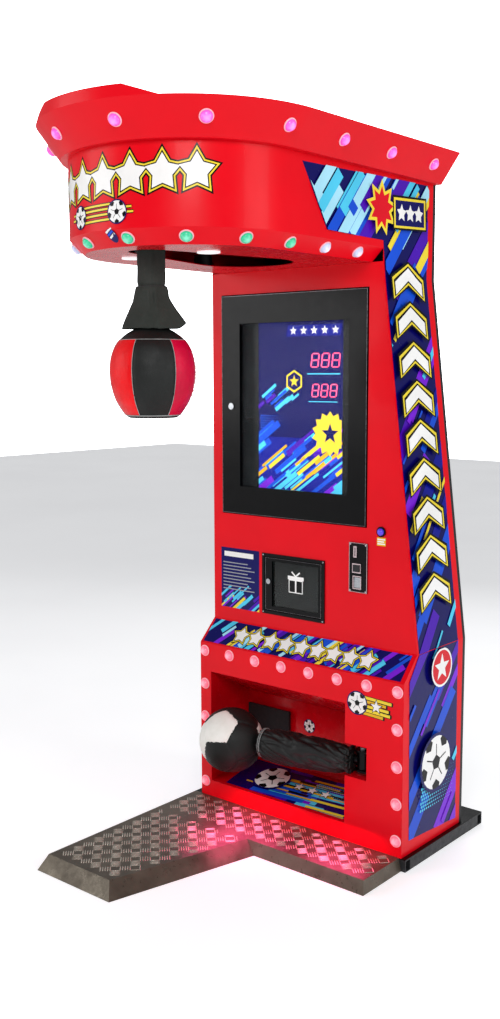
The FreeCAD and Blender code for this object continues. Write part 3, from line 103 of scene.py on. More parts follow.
# each finish: colour, its patchy second colour, and how its surface behaves, sizes in 1/m
finishes = {
    "redPaint": {"base": "e20016", "tint": "d60014", "patch": 2.5, "grain": 260, "rough": 0.34, "spread": 0.06,
                 "bump": 0.03, "coat": 0.04, "shine": 0.14, "bevel": 0.0016},
    "redLiner": {"base": "d00012", "tint": "c20010", "patch": 3, "grain": 260, "rough": 0.26, "spread": 0.06,
                 "bump": 0.03, "coat": 0.08, "shine": 0.2, "bevel": 0.0016},
    "blackSatin": {"base": "020203", "tint": "030304", "patch": 6, "grain": 520, "rough": 0.24, "spread": 0.03,
                   "bump": 0.04, "shine": 0.16, "bevel": 0.0012},
    "blackBoard": {"base": "131316", "tint": "1b1b1e", "patch": 7, "grain": 700, "rough": 0.55, "spread": 0.1,
                   "bump": 0.12, "bevel": 0.001},
    "blackPlastic": {"base": "101113", "tint": "17181b", "patch": 20, "grain": 1400, "rough": 0.48, "spread": 0.1,
                     "bump": 0.14},
    "frameSteel": {"base": "1a1b1d", "tint": "242528", "patch": 12, "grain": 900, "rough": 0.5, "spread": 0.12,
                   "bump": 0.15},
    "treadMetal": {"base": "6e665a", "tint": "544c42", "patch": 9, "grain": 340, "rough": 0.36, "spread": 0.14,
                   "bump": 0.18, "metal": 0.6},
    "treadBar": {"base": "d8cfc2", "tint": "b9ae9f", "patch": 22, "grain": 600, "rough": 0.22, "spread": 0.12,
                 "bump": 0.12, "metal": 0.7},
    "zincSteel": {"base": "b9bcc0", "tint": "9da1a6", "patch": 30, "grain": 500, "rough": 0.3, "spread": 0.12,
                  "bump": 0.06, "metal": 1.0, "stretch": (1, 1, 14)},
    "chrome": {"base": "b4b6ba", "tint": "9c9fa3", "patch": 40, "grain": 900, "rough": 0.22, "spread": 0.06,
               "bump": 0.02, "metal": 1.0},
    "brushedTrim": {"base": "ddc9cb", "tint": "c6aeb2", "patch": 14, "grain": 420, "rough": 0.3, "spread": 0.12,
                    "bump": 0.05, "metal": 1.0, "stretch": (1, 1, 22)},
    "castHousing": {"base": "34373b", "tint": "26282b", "patch": 30, "grain": 800, "rough": 0.55, "spread": 0.15,
                    "bump": 0.3},
    "rubber": {"base": "121214", "tint": "1a1a1c", "patch": 14, "grain": 1100, "rough": 0.7, "spread": 0.1,
               "bump": 0.2},
    "cast": {"base": "24282a", "tint": "1b1f20", "patch": 18, "grain": 1500, "rough": 0.78, "spread": 0.1,
             "bump": 0.3, "sheen": 0.25},
    "neoprene": {"base": "2c302c", "tint": "232723", "patch": 16, "grain": 1500, "rough": 0.75, "spread": 0.08,
                 "bump": 0.3, "sheen": 0.04, "shine": 0.25},
    "redLeather": {"base": "f00410", "tint": "d8020c", "patch": 12, "grain": 700, "rough": 0.36, "spread": 0.1,
                   "bump": 0.2, "leather": 520, "shine": 0.22},
    "crimsonLeather": {"base": "d00238", "tint": "b80230", "patch": 12, "grain": 700, "rough": 0.36, "spread": 0.1,
                       "bump": 0.2, "leather": 520, "shine": 0.22},
    "blackLeather": {"base": "1a1c1b", "tint": "131514", "patch": 12, "grain": 700, "rough": 0.48, "spread": 0.1,
                     "bump": 0.22, "leather": 520, "shine": 0.25},
    "whiteLeather": {"base": "f0eee8", "tint": "e4e1d9", "patch": 14, "grain": 700, "rough": 0.45, "spread": 0.1,
                     "bump": 0.2, "leather": 520},
    "nylon": {"base": "040505", "tint": "080908", "patch": 24, "grain": 900, "rough": 0.46, "spread": 0.08,
              "bump": 0.08, "weave": 900, "sheen": 0.03, "shine": 0.4},
    "thread": {"base": "9a9c9b", "tint": "7f8180", "patch": 60, "grain": 2400, "rough": 0.7, "spread": 0.1,
               "bump": 0.3},
    "seamThread": {"base": "2b2d2e", "tint": "1f2021", "patch": 60, "grain": 2400, "rough": 0.75, "spread": 0.1,
                   "bump": 0.3},
    "printFilm": {"attribute": "paint", "base": "ffffff", "tint": "f0f0f0", "patch": 5, "grain": 900, "rough": 0.22,
                  "spread": 0.06, "bump": 0.02, "coat": 0.06, "shine": 0.16},
    "litPrint": {"attribute": "paint", "base": "ffffff", "tint": "f4f4f4", "patch": 6, "grain": 900, "rough": 0.3,
                 "spread": 0.05, "bump": 0.01, "glow": 0.7, "shine": 0.1},
    "litDigit": {"base": "ff5d86", "tint": "ff3f70", "patch": 40, "grain": 900, "rough": 0.4, "spread": 0.05,
                 "bump": 0.01, "glow": 2.2},
    "pinkDome": {"attribute": "core", "base": "ffd3da", "tint": "ffb8c4", "patch": 90, "grain": 900, "rough": 0.2,
                 "spread": 0.05, "bump": 0.03, "coat": 0.2, "glow": 0.75},
    "whiteLens": {"base": "f4f6f7", "tint": "e8ebed", "patch": 50, "grain": 900, "rough": 0.25, "spread": 0.08,
                  "bump": 0.05, "glow": 0.6},
    "lampRing": {"base": "f0b8c4", "tint": "e8a8b6", "patch": 60, "grain": 1200, "rough": 0.4, "spread": 0.05,
                 "bump": 0.03, "glow": 0.12},
    # grey metal used only for the strips that paint a highlight along the door frame edges
    "paintedEdgeHighlight": {"base": "8e8a8d", "tint": "6f6b70", "patch": 60, "grain": 1200, "rough": 0.28, "spread": 0.1,
                   "bump": 0.04, "metal": 0.9},
    "clearGlass": {"base": "8e979c", "tint": "858f95", "patch": 2, "grain": 60, "rough": 0.03, "spread": 0.02,
                   "bump": 0.0, "alpha": 0.035},
    "darkGlass": {"base": "1c2423", "tint": "141a19", "patch": 4, "grain": 60, "rough": 0.05, "spread": 0.03,
                  "bump": 0.0, "alpha": 0.72},
    "blueButton": {"base": "2a3fd0", "tint": "6a2bd0", "patch": 60, "grain": 900, "rough": 0.18, "spread": 0.06,
                   "bump": 0.02, "coat": 0.6, "glow": 0.25},
    "boardGreen": {"base": "1d5a35", "tint": "164628", "patch": 60, "grain": 900, "rough": 0.5, "spread": 0.1,
                   "bump": 0.2},
    "studioFloor": {"base": "f6f6f7", "tint": "f2f2f3", "patch": 0.6, "grain": 60, "rough": 0.6, "spread": 0.05,
                    "bump": 0.0, "glow": 0.42, "shine": 0.1},
}


def makeFinish(name, look):
    made = bpy.data.materials.new(name)
    made.use_nodes = True
    tree = made.node_tree
    tree.nodes.clear()
    link = tree.links.new
    output = addNode(tree, "ShaderNodeOutputMaterial")
    shader = addNode(tree, "ShaderNodeBsdfPrincipled", Metallic=look.get("metal", 0.0),
                     Coat_Weight=look.get("coat", 0.0), Coat_Roughness=0.08, Alpha=look.get("alpha", 1.0),
                     Sheen_Weight=look.get("sheen", 0.0), Sheen_Roughness=0.4)
    shader.inputs["Specular IOR Level"].default_value = look.get("shine", 0.4)
    link(shader.outputs[0], output.inputs[0])
    coords = addNode(tree, "ShaderNodeTexCoord")
    spread = addNode(tree, "ShaderNodeMapping", Scale=look.get("stretch", (1, 1, 1)))
    link(coords.outputs["Object"], spread.inputs["Vector"])
    wide = addNode(tree, "ShaderNodeTexNoise", Scale=look["patch"], Detail=4, Roughness=0.6)
    fine = addNode(tree, "ShaderNodeTexNoise", Scale=look["grain"], Detail=3, Roughness=0.55)
    for texture in (wide, fine):
        link(spread.outputs[0], texture.inputs["Vector"])
    blend = addNode(tree, "ShaderNodeMix", data_type="RGBA")
    blend.inputs[6].default_value = linear(look["base"])
    blend.inputs[7].default_value = linear(look["tint"])
    ramp = addNode(tree, "ShaderNodeMapRange", From_Min=0.35, From_Max=0.65)
    link(wide.outputs["Fac"], ramp.inputs["Value"])
    link(ramp.outputs[0], blend.inputs[0])
    colour = blend.outputs[2]
    if "attribute" in look:
        own = addNode(tree, "ShaderNodeAttribute", attribute_name=look["attribute"])
        times = addNode(tree, "ShaderNodeMix", data_type="RGBA", blend_type="MULTIPLY")
        times.inputs[0].default_value = 1
        link(own.outputs["Color"], times.inputs[6])
        link(colour, times.inputs[7])
        colour = times.outputs[2]
    link(colour, shader.inputs["Base Color"])
    if "glow" in look:
        link(colour, shader.inputs["Emission Color"])
        shader.inputs["Emission Strength"].default_value = look["glow"]
    gloss = addNode(tree, "ShaderNodeMapRange", From_Min=0.3, From_Max=0.7,
                    To_Min=max(look["rough"] - look["spread"], 0.02), To_Max=look["rough"] + look["spread"])
    cloudy = addNode(tree, "ShaderNodeTexNoise", Scale=look["patch"] * 5, Detail=5, Roughness=0.65)
    link(spread.outputs[0], cloudy.inputs["Vector"])
    link(cloudy.outputs["Fac"], gloss.inputs["Value"])
    link(gloss.outputs[0], shader.inputs["Roughness"])
    height = fine.outputs["Fac"]
    if "leather" in look:
        cells = addNode(tree, "ShaderNodeTexVoronoi", Scale=look["leather"])
        link(spread.outputs[0], cells.inputs["Vector"])
        total = addNode(tree, "ShaderNodeMath", operation="ADD")
        link(cells.outputs["Distance"], total.inputs[0])
        link(height, total.inputs[1])
        height = total.outputs[0]
    if "weave" in look:
        for direction in ("X", "Z"):
            wave = addNode(tree, "ShaderNodeTexWave", bands_direction=direction, Scale=look["weave"] / 6.28,
                           Distortion=0.4)
            link(spread.outputs[0], wave.inputs["Vector"])
            total = addNode(tree, "ShaderNodeMath", operation="ADD")
            link(wave.outputs["Fac"], total.inputs[0])
            link(height, total.inputs[1])
            height = total.outputs[0]
    bump = addNode(tree, "ShaderNodeBump", Strength=look["bump"], Distance=0.002)
    link(height, bump.inputs["Height"])
    if "bevel" in look:
        soft = addNode(tree, "ShaderNodeBevel", samples=4, Radius=look["bevel"])
        link(soft.outputs[0], bump.inputs["Normal"])
    link(bump.outputs[0], shader.inputs["Normal"])
    return made


finish = {name: makeFinish(name, look) for name, look in finishes.items()}

nodeFinish = {
    "redPaint": ["left_side_panel", "right_side_panel", "lower_front_panel", "slope_panel", "column_front_panel",
                 "hood_shell", "crown_shell"],
    "redLiner": ["kicker_recess_liner", "hood_underside_panel", "prize_bin"],
    "blackSatin": ["display_frame", "display_door_frame", "coin_plate", "prize_frame", "prize_door_frame", "kicker_arm", "start_button_housing", "kicker_bracket", "display_panel",
                   "base_plate", "power_inlet"],
    "blackBoard": ["rear_panel", "rear_door", "crown_top_cover"],
    "blackPlastic": ["speakers", "score_displays", "coin_validator", "coin_return_button"],
    "frameSteel": ["base_frame", "column_frame", "hood_frame"],
    "treadMetal": ["front_tread_plate", "runway_tread_plate"],
    "zincSteel": ["latch_solenoid", "coin_box", "kicker_pivot_pin", "electronics_shelf", "pivot_shaft",
                  "punch_arm", "coin_return_flap", "power_supply"],
    "chrome": ["display_lock", "prize_lock", "rear_door_lock"],
    "castHousing": ["punch_bearings"],
    "rubber": ["stop_buffer", "kicker_stop_pad"],
    "whiteLens": ["downlights"],
    "blueButton": ["start_button_cap"],
    "boardGreen": ["control_board"],
    "clearGlass": ["display_door_glass"],
    "darkGlass": ["prize_door_glass"],
}
for name, members in nodeFinish.items():
    for node in members:
        nodes[node].data.materials.clear()
        nodes[node].data.materials.append(finish[name])


def paintFaces(node, name, test):
    # a second finish on the CAD faces whose centre passes the test
    mesh = nodes[node].data
    mesh.materials.append(finish[name])
    index = len(mesh.materials) - 1
    for face in mesh.polygons:
        if test(face.center):
            face.material_index = index


plateLow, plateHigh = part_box("coin_plate")
paintFaces("coin_plate", "brushedTrim", lambda c: c.y < plateLow.y + 0.0029)
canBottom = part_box("downlights")[0].z
paintFaces("downlights", "chrome", lambda c: c.z > canBottom + 0.0035)
print("stage: finishes on CAD nodes")


def meshPiece(name, verts, faces, body, names, faceNames=None, smooth=False):
    mesh = bpy.data.meshes.new(name)
    mesh.from_pydata([tuple(v) for v in verts], [], faces)
    for item in names:
        mesh.materials.append(finish[item])
    if faceNames is not None:
        mesh.polygons.foreach_set("material_index", faceNames)
    if smooth:
        mesh.polygons.foreach_set("use_smooth", [True] * len(mesh.polygons))
    mesh.update()
    piece = bpy.data.objects.new(name, mesh)
    bpy.context.scene.collection.objects.link(piece)
    if body:
        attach(piece, body)
    return piece


def loft(rings, closeStart=True, closeEnd=True):
    # quads between rings of equally many points
    count = len(rings[0])
    verts = [point for ring in rings for point in ring]
    faces = []
    for row in range(len(rings) - 1):
        for step in range(count):
            after = (step + 1) % count
            faces.append((row * count + step, row * count + after, (row + 1) * count + after, (row + 1) * count + step))
    if closeStart:
        faces.append(tuple(range(count))[::-1])
    if closeEnd:
        faces.append(tuple((len(rings) - 1) * count + step for step in range(count)))
    return verts, faces


def tubeAlong(points, radius, sides=8, closed=False):
    # round thread or piping along a line of points
    points = [Vector(p) for p in points]
    rings = []
    count = len(points)
    for step, point in enumerate(points):
        ahead = points[(step + 1) % count] if closed or step < count - 1 else point
        behind = points[step - 1] if closed or step > 0 else point
        along = (ahead - behind).normalized()
        side = along.orthogonal().normalized() if abs(along.z) > 0.95 else along.cross(Vector((0, 0, 1))).normalized()
        up = along.cross(side)
        rings.append([point + radius * (side * math.cos(a) + up * math.sin(a))
                      for a in (2 * math.pi * k / sides for k in range(sides))])
    if closed:
        rings.append(rings[0])
    return loft(rings, not closed, not closed)


def join(parts):
    verts, faces = [], []
    for moreVerts, moreFaces in parts:
        start = len(verts)
        verts += list(moreVerts)
        faces += [tuple(start + i for i in face) for face in moreFaces]
    return verts, faces


# ---- printed art: flat shapes laid over each other ----

palette = {key: linear(code) for key, code in {
    "navy": "07065a", "deep": "0c1690", "blue": "1450d4", "purple": "4a0eb0", "violet": "7a20d8", "cyan": "50ccf0", "pale": "a8e4f8",
    "yellow": "f0d83c", "gold": "e8b420", "white": "f4f4f2", "black": "08080a", "red": "d80c20",
    "pink": "ff7a9a", "grey": "9a9da8"}.items()}


def clip(shape, cell):
    # the part of shape inside a convex cell
    area = sum(a[0] * b[1] - b[0] * a[1] for a, b in zip(cell, cell[1:] + cell[:1]))
    cell = cell if area > 0 else cell[::-1]
    for a, b in zip(cell, cell[1:] + cell[:1]):
        inside = [(b[0] - a[0]) * (p[1] - a[1]) - (b[1] - a[1]) * (p[0] - a[0]) for p in shape]
        kept = []
        for step, point in enumerate(shape):
            after = (step + 1) % len(shape)
            if inside[step] >= 0:
                kept.append(point)
            if (inside[step] > 0) != (inside[after] > 0) and abs(inside[step] - inside[after]) > 1e-12:
                share = inside[step] / (inside[step] - inside[after])
                other = shape[after]
                kept.append((point[0] + share * (other[0] - point[0]), point[1] + share * (other[1] - point[1])))
        shape = kept
        if len(shape) < 3:
            return []
    return shape


def decal(name, cells, shapes, place, body, film="printFilm", lift=0.0004, step=0.00004):
    verts, faces, colours = [], [], []
    for level, (shape, colour) in enumerate(shapes):
        for cell in cells:
            part = clip(list(shape), cell)
            if len(part) > 2:
                start = len(verts)
                verts += [place(u, v, lift + step * level) for u, v in part]
                faces.append(tuple(range(start, len(verts))))
                colours.append(palette[colour])
    piece = meshPiece(name, verts, faces, body, [film])
    layer = piece.data.attributes.new("paint", "FLOAT_COLOR", "FACE")
    layer.data.foreach_set("color", [value for colour in colours for value in colour])
    return piece


def block(u0, u1, v0, v1):
    return [(u0, v0), (u1, v0), (u1, v1), (u0, v1)]


def bar(u, v, length, width, angle):
    ca, sa = math.cos(angle), math.sin(angle)
    corners = ((0, -0.5), (1, -0.5), (1, 0.5), (0, 0.5))
    return [(u + length * a * ca - width * b * sa, v + length * a * sa + width * b * ca) for a, b in corners]


def ngon(u, v, r, sides=28, turn=0.0):
    return [(u + r * math.cos(turn + 2 * math.pi * k / sides), v + r * math.sin(turn + 2 * math.pi * k / sides))
            for k in range(sides)]


def star(u, v, r, points=5, inner=0.42, turn=math.pi / 2):
    return [(u + (r if k % 2 == 0 else r * inner) * math.cos(turn + math.pi * k / points),
             v + (r if k % 2 == 0 else r * inner) * math.sin(turn + math.pi * k / points))
            for k in range(points * 2)]


def ballIcon(u, v, r):
    # plain football sign: dark rim, white ball, dark patches
    shapes = [(ngon(u, v, r * 1.12), "navy"), (ngon(u, v, r), "white"), (ngon(u, v, r * 0.30, 5, math.pi / 2), "black")]
    disc = ngon(u, v, r, 40)
    for k in range(5):
        a = math.pi / 2 + 2 * math.pi * k / 5
        spot = ngon(u + r * 0.92 * math.cos(a + math.pi / 5), v + r * 0.92 * math.sin(a + math.pi / 5), r * 0.28, 5,
                    a + math.pi / 5 + math.pi)
        part = clip(spot, disc)
        if part:
            shapes.append((part, "black"))
        shapes.append((bar(u + r * 0.3 * math.cos(a), v + r * 0.3 * math.sin(a), r * 0.4, r * 0.05, a), "black"))
    return shapes


def streaks(seed, count, area, angle, colours, sizes):
    # slanted bars of mixed length, as on such machines' side art
    dice = random.Random(seed)
    u0, u1, v0, v1 = area
    made = []
    for step in range(count):
        length = dice.uniform(*sizes[0])
        made.append((bar(dice.uniform(u0, u1) - length / 2 * math.cos(angle), dice.uniform(v0, v1) - length / 2 * math.sin(angle),
                         length, dice.uniform(*sizes[1]), angle), colours[dice.randrange(len(colours))]))
    return made


def dots(u0, u1, v0, v1, pitch, colour):
    made = []
    for row in range(int((v1 - v0) / pitch)):
        for column in range(int((u1 - u0) / pitch)):
            r = pitch * 0.42 * (1 - column * pitch / (u1 - u0))
            made.append((ngon(u0 + (column + 0.5 * (row % 2)) * pitch, v0 + row * pitch, max(r, pitch * 0.08), 6), colour))
    return made


rightLow, flareStart, flareEnd = 0.482, 0.660, 1.800


def wallX(z):
    share = min(max((z - flareStart) / (flareEnd - flareStart), 0), 1)
    return rightLow - (rightLow - 0.343) * share


sideArt = [(block(-0.5, 0.5, 0, 2.2), "navy")]
sideArt += streaks(3, 46, (-0.35, 0.36, 0.05, 2.12), 0.86, ["purple", "deep", "blue", "violet", "blue"],
                   ((0.15, 0.5), (0.02, 0.06)))
sideArt += streaks(8, 40, (-0.35, 0.36, 0.05, 2.12), 0.86, ["cyan", "yellow", "blue", "cyan", "violet"],
                   ((0.06, 0.26), (0.008, 0.022)))
sideArt += streaks(31, 26, (-0.35, 0.34, 1.86, 2.12), 0.86, ["cyan", "pale", "yellow", "blue", "pale", "purple"],
                   ((0.10, 0.30), (0.016, 0.05)))
sideArt += dots(0.10, 0.30, 0.16, 0.30, 0.012, "cyan")
for grow, colour in ((0.020, "black"), (0.013, "yellow"), (0.006, "black"), (0.0, "white")):
    for k in range(9):                              # arrow signs up the column
        low = 0.80 + k * 0.118
        sideArt += [([(0.115 - grow, low - grow), (0.190, low + 0.045 - grow), (0.265 + grow, low - grow),
                      (0.265 + grow, low + 0.038 + grow), (0.190, low + 0.083 + grow), (0.115 - grow, low + 0.038 + grow)], colour)]
sideArt += [(ngon(0.20, 0.60, 0.062, 24), "white"), (ngon(0.20, 0.60, 0.055, 24), "red"), (star(0.20, 0.60, 0.045), "white")]
sideArt += ballIcon(0.175, 0.30, 0.085)
sideArt += [(star(0.04, 1.99, 0.082, 9, 0.62), "yellow"), (star(0.04, 1.99, 0.062, 9, 0.62), "red")]
sideArt += [(bar(0.100, 1.984, 0.190, 0.100, 0.05), "black"), (bar(0.106, 1.984, 0.178, 0.088, 0.05), "yellow"),
            (bar(0.114, 1.984, 0.162, 0.074, 0.05), "navy")]
sideArt += [(star(0.148 + 0.048 * k, 1.986 + 0.002 * k, 0.027, 5, 0.52), "white") for k in range(3)]
sideCells = [
    [(-0.325, 2.074), (-0.212, 1.905), (0.071, 1.901), (0.32, 1.901), (0.32, 2.088)],
    [(0.071, 1.901), (0.0835, 1.800), (0.32, 1.800), (0.32, 1.901)],
    [(0.0835, 1.800), (0.0835, 0.680), (0.32, 0.680), (0.32, 1.800)],
    [(0.0835, 0.680), (0.0835, 0.662), (0.32, 0.662), (0.32, 0.680)],
    [(0.030, 0.586), (0.040, 0.085), (0.325, 0.066), (0.32, 0.660), (0.0835, 0.660)],
]
decal("sideArtRight", sideCells, sideArt, lambda u, v, h: (wallX(v) + h, u, v), "cabinet")
decal("sideArtLeft", sideCells, sideArt, lambda u, v, h: (-0.343 - h, u, v), "cabinet")

hoodRadius, hoodCentre, hoodBend = 0.343, -0.392, 1.881


def onHood(u, v, h):
    # u runs round the hood from the middle of its front, to the right
    reach = math.pi / 2 * hoodRadius
    r = hoodRadius + h - max(hoodBend - v, 0)
    if abs(u) < reach:
        a = u / hoodRadius
        return (r * math.sin(a), hoodCentre - r * math.cos(a), v)
    return (math.copysign(r, u), hoodCentre + abs(u) - reach, v)


titleArt = []
for layer, colour in ((0.070, "black"), (0.062, "yellow"), (0.054, "black"), (0.048, "white")):
    titleArt += [(star(-0.255 + k * 0.088, 2.006 + k * 0.002, layer, 5, 0.56), colour) for k in range(7)]
for k, (low, length) in enumerate(((1.905, 0.20), (1.918, 0.25), (1.931, 0.24), (1.943, 0.18))):
    titleArt += [(bar(-0.02 - length / 2, low, length, 0.009, 0.02), "black"),
                 (bar(-0.02 - length / 2, low, length, 0.005, 0.02), "yellow")]
titleArt += ballIcon(0.055, 1.925, 0.028) + ballIcon(-0.095, 1.923, 0.028)
titleArt += [(ngon(0.028, 1.867, 0.016, 20), "navy"), (bar(0.016, 1.862, 0.026, 0.004, 0.4), "white"),
             (bar(0.014, 1.868, 0.026, 0.004, 0.4), "blue"), (bar(0.012, 1.874, 0.026, 0.004, 0.4), "white")]
titleCells = [block(-0.36 + k * 0.02, -0.36 + (k + 1) * 0.02, 1.845, 2.09) for k in range(36)]
titleCells = [half for cell in titleCells for half in (block(cell[0][0], cell[1][0], 1.845, 1.881), block(cell[0][0], cell[1][0], 1.881, 2.09))]
decal("hoodTitle", titleCells, titleArt, onHood, "cabinet")


def front(y):
    return lambda u, v, h: (u, y - h, v)


def onSlope(u, v, h):
    # v runs up the 45 degree panel from its lower edge
    s = math.sqrt(0.5)
    return (u, (v - h) * s, 0.587 + (v + h) * s)


slopeArt = [(block(-1, 1, -1, 1), "navy")]
slopeArt += streaks(12, 70, (-0.33, 0.46, 0.0, 0.106), 0.9, ["purple", "blue", "violet", "blue", "cyan", "yellow", "pale"],
                    ((0.05, 0.16), (0.006, 0.022)))
for layer, colour in ((0.045, "black"), (0.040, "yellow"), (0.034, "black"), (0.030, "white")):
    slopeArt += [(star(-0.185 + 0.064 * k, 0.052, layer, 5, 0.56), colour) for k in range(9)]
decal("slopeArt", [block(-0.333, 0.467, 0.006, 0.100)], slopeArt, onSlope, "cabinet")

rulesArt = [(block(-1, 1, 0, 2), "navy")]
rulesArt += streaks(21, 22, (-0.30, -0.14, 0.70, 0.76), 0.7, ["yellow", "cyan", "purple", "violet"], ((0.03, 0.1), (0.004, 0.012)))
rulesArt += [(block(-0.295, -0.165, 0.885, 0.902), "white")]
for k in range(9):
    rulesArt += [(block(-0.300, -0.300 + 0.11 + 0.03 * ((k * 7) % 3) / 2, 0.862 - k * 0.0115, 0.8655 - k * 0.0115), "grey")]
decal("rulesSticker", [block(-0.31, -0.14, 0.706, 0.915)], rulesArt, front(0.075), "cabinet")

floorArt = [(block(-1, 1, -1, 1), "navy")]
floorArt += streaks(31, 26, (-0.10, 0.26, 0.0, 0.19), 0.05, ["purple", "blue", "violet", "cyan"], ((0.08, 0.22), (0.008, 0.02)))
floorArt += streaks(33, 20, (-0.12, 0.26, 0.0, 0.19), 0.05, ["yellow", "gold", "black"], ((0.08, 0.26), (0.005, 0.012)))
floorArt += dots(0.07, 0.25, 0.10, 0.15, 0.008, "cyan")
floorArt += ballIcon(-0.10, 0.10, 0.062)
floorArt += [(star(0.02 + 0.055 * k, 0.095, 0.026), "black") for k in range(3)]
floorArt += [(star(0.02 + 0.055 * k, 0.095, 0.021), "white") for k in range(3)]
floorTilt = math.atan2(0.043, 0.200)
decal("recessFloorArt", [block(-0.24, 0.255, 0.012, 0.185)], floorArt,
      lambda u, v, h: (u, v * math.cos(floorTilt) - h * math.sin(floorTilt), 0.097 + v * math.sin(floorTilt) + h), "cabinet")
decal("recessBallSticker", [block(-0.2, 0.2, 0.2, 0.4)], ballIcon(-0.020, 0.300, 0.022), front(0.2), "cabinet")
hitArt = []
for k, (v, length, colour) in enumerate(((0.520, 0.13, "yellow"), (0.508, 0.11, "gold"), (0.494, 0.12, "yellow"),
                                        (0.481, 0.125, "yellow"), (0.470, 0.10, "gold"))):
    hitArt += [(bar(0.31, v + 0.002, length + 0.006, 0.013, -0.05), "black"), (bar(0.31, v + 0.002, length, 0.009, -0.05), colour)]
hitArt += [(star(0.385, 0.498, 0.026), "black"), (star(0.385, 0.498, 0.021), "white")] + ballIcon(0.315, 0.498, 0.034)
decal("frontBallSticker", [block(0.27, 0.445, 0.40, 0.55)], hitArt, front(0.0), "cabinet")
tagArt = [(block(0.331, 0.363, 0.983, 1.009), "gold")]
tagArt += [(block(0.333, 0.361 - 0.004 * (k % 2), 1.001 - 0.007 * k, 1.005 - 0.007 * k), "white") for k in range(3)]
decal("smallTag", [block(0.3, 0.37, 0.97, 1.02)], tagArt, front(0.075), "cabinet")

# display art behind the glass
artLow, artHigh = 1.115, 1.679
artShapes = [(block(-1, 1, 0, 2), "navy")]
artShapes += [(block(-0.172, 0.172, artLow, 1.30), "deep")]
artShapes += streaks(44, 34, (-0.19, 0.19, artLow, 1.31), 0.62, ["blue", "cyan", "purple", "violet", "cyan", "blue"],
                     ((0.05, 0.2), (0.008, 0.024)))
artShapes += streaks(47, 20, (-0.19, 0.19, artLow, 1.29), 0.62, ["yellow", "gold", "cyan"], ((0.04, 0.14), (0.005, 0.014)))
artShapes += streaks(51, 12, (-0.17, 0.0, 1.40, 1.46), 0.62, ["blue", "cyan", "purple"], ((0.03, 0.08), (0.006, 0.014)))
artShapes += dots(-0.16, -0.04, 1.33, 1.38, 0.008, "blue")
artShapes += [(ngon(-0.018, 1.484, 0.037, 6, math.pi / 6), "yellow"), (ngon(-0.018, 1.484, 0.030, 6, math.pi / 6), "navy"),
              (star(-0.018, 1.484, 0.020), "yellow")]
artShapes += [(star(0.127, 1.318, 0.072, 14, 0.8), "yellow"), (star(0.127, 1.318, 0.034), "navy")]
artShapes += [([(-0.05, 1.628), (0.165, 1.628), (0.171, 1.664), (-0.044, 1.664)], "deep")]
artShapes += [(star(-0.022 + 0.042 * k, 1.646, 0.015), "white") for k in range(5)]
artShapes += [(block(0.035, 0.165, 1.506, 1.510), "cyan"), (block(0.041, 0.155, 1.418, 1.421), "cyan")]
decal("displayArt", [block(-0.172, 0.172, artLow, artHigh)],
      artShapes, front(0.1138), "cabinet", "litPrint")

segments = {"a": (0.15, 0.85, 0.93, 1.0), "b": (0.86, 1.0, 0.53, 0.92), "c": (0.86, 1.0, 0.08, 0.47),
            "d": (0.15, 0.85, 0.0, 0.07), "e": (0.0, 0.14, 0.08, 0.47), "f": (0.0, 0.14, 0.53, 0.92), "g": (0.15, 0.85, 0.465, 0.535)}
digitShapes, digitVerts, digitFaces = [], [], []
for low, left, width, height, text in ((1.528, 0.044, 0.032, 0.046, "abcdefg"), (1.434, 0.048, 0.028, 0.042, "abcdefg")):
    for place in range(3):
        for key in text:
            a, b, c, d = segments[key]
            u0 = left + place * width * 1.28
            corners = block(u0 + a * width, u0 + b * width, low + c * height, low + d * height)
            start = len(digitVerts)
            digitVerts += [(u + (v - low) * 0.12, 0.1122, v) for u, v in corners]
            digitFaces.append(tuple(range(start, start + 4)))
meshPiece("scoreDigits", digitVerts, digitFaces, "cabinet", ["litDigit"])

giftArt = [(block(-0.018, 0.040, 0.790, 0.834), "white"), (block(-0.015, 0.037, 0.793, 0.831), "black"),
           (block(-0.022, 0.044, 0.834, 0.846), "white"), (block(0.008, 0.014, 0.790, 0.846), "white"),
           (bar(0.011, 0.846, 0.022, 0.005, 0.7), "white"), (bar(0.011, 0.846, 0.022, 0.005, 2.44), "white")]
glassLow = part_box("prize_door_glass")[0]
decal("giftSign", [block(-0.08, 0.11, 0.74, 0.89)], giftArt, front(glassLow.y - 0.0002), "prize_door")
print("stage: printed art")

# ---- repeated small pieces, placed by one node group ----


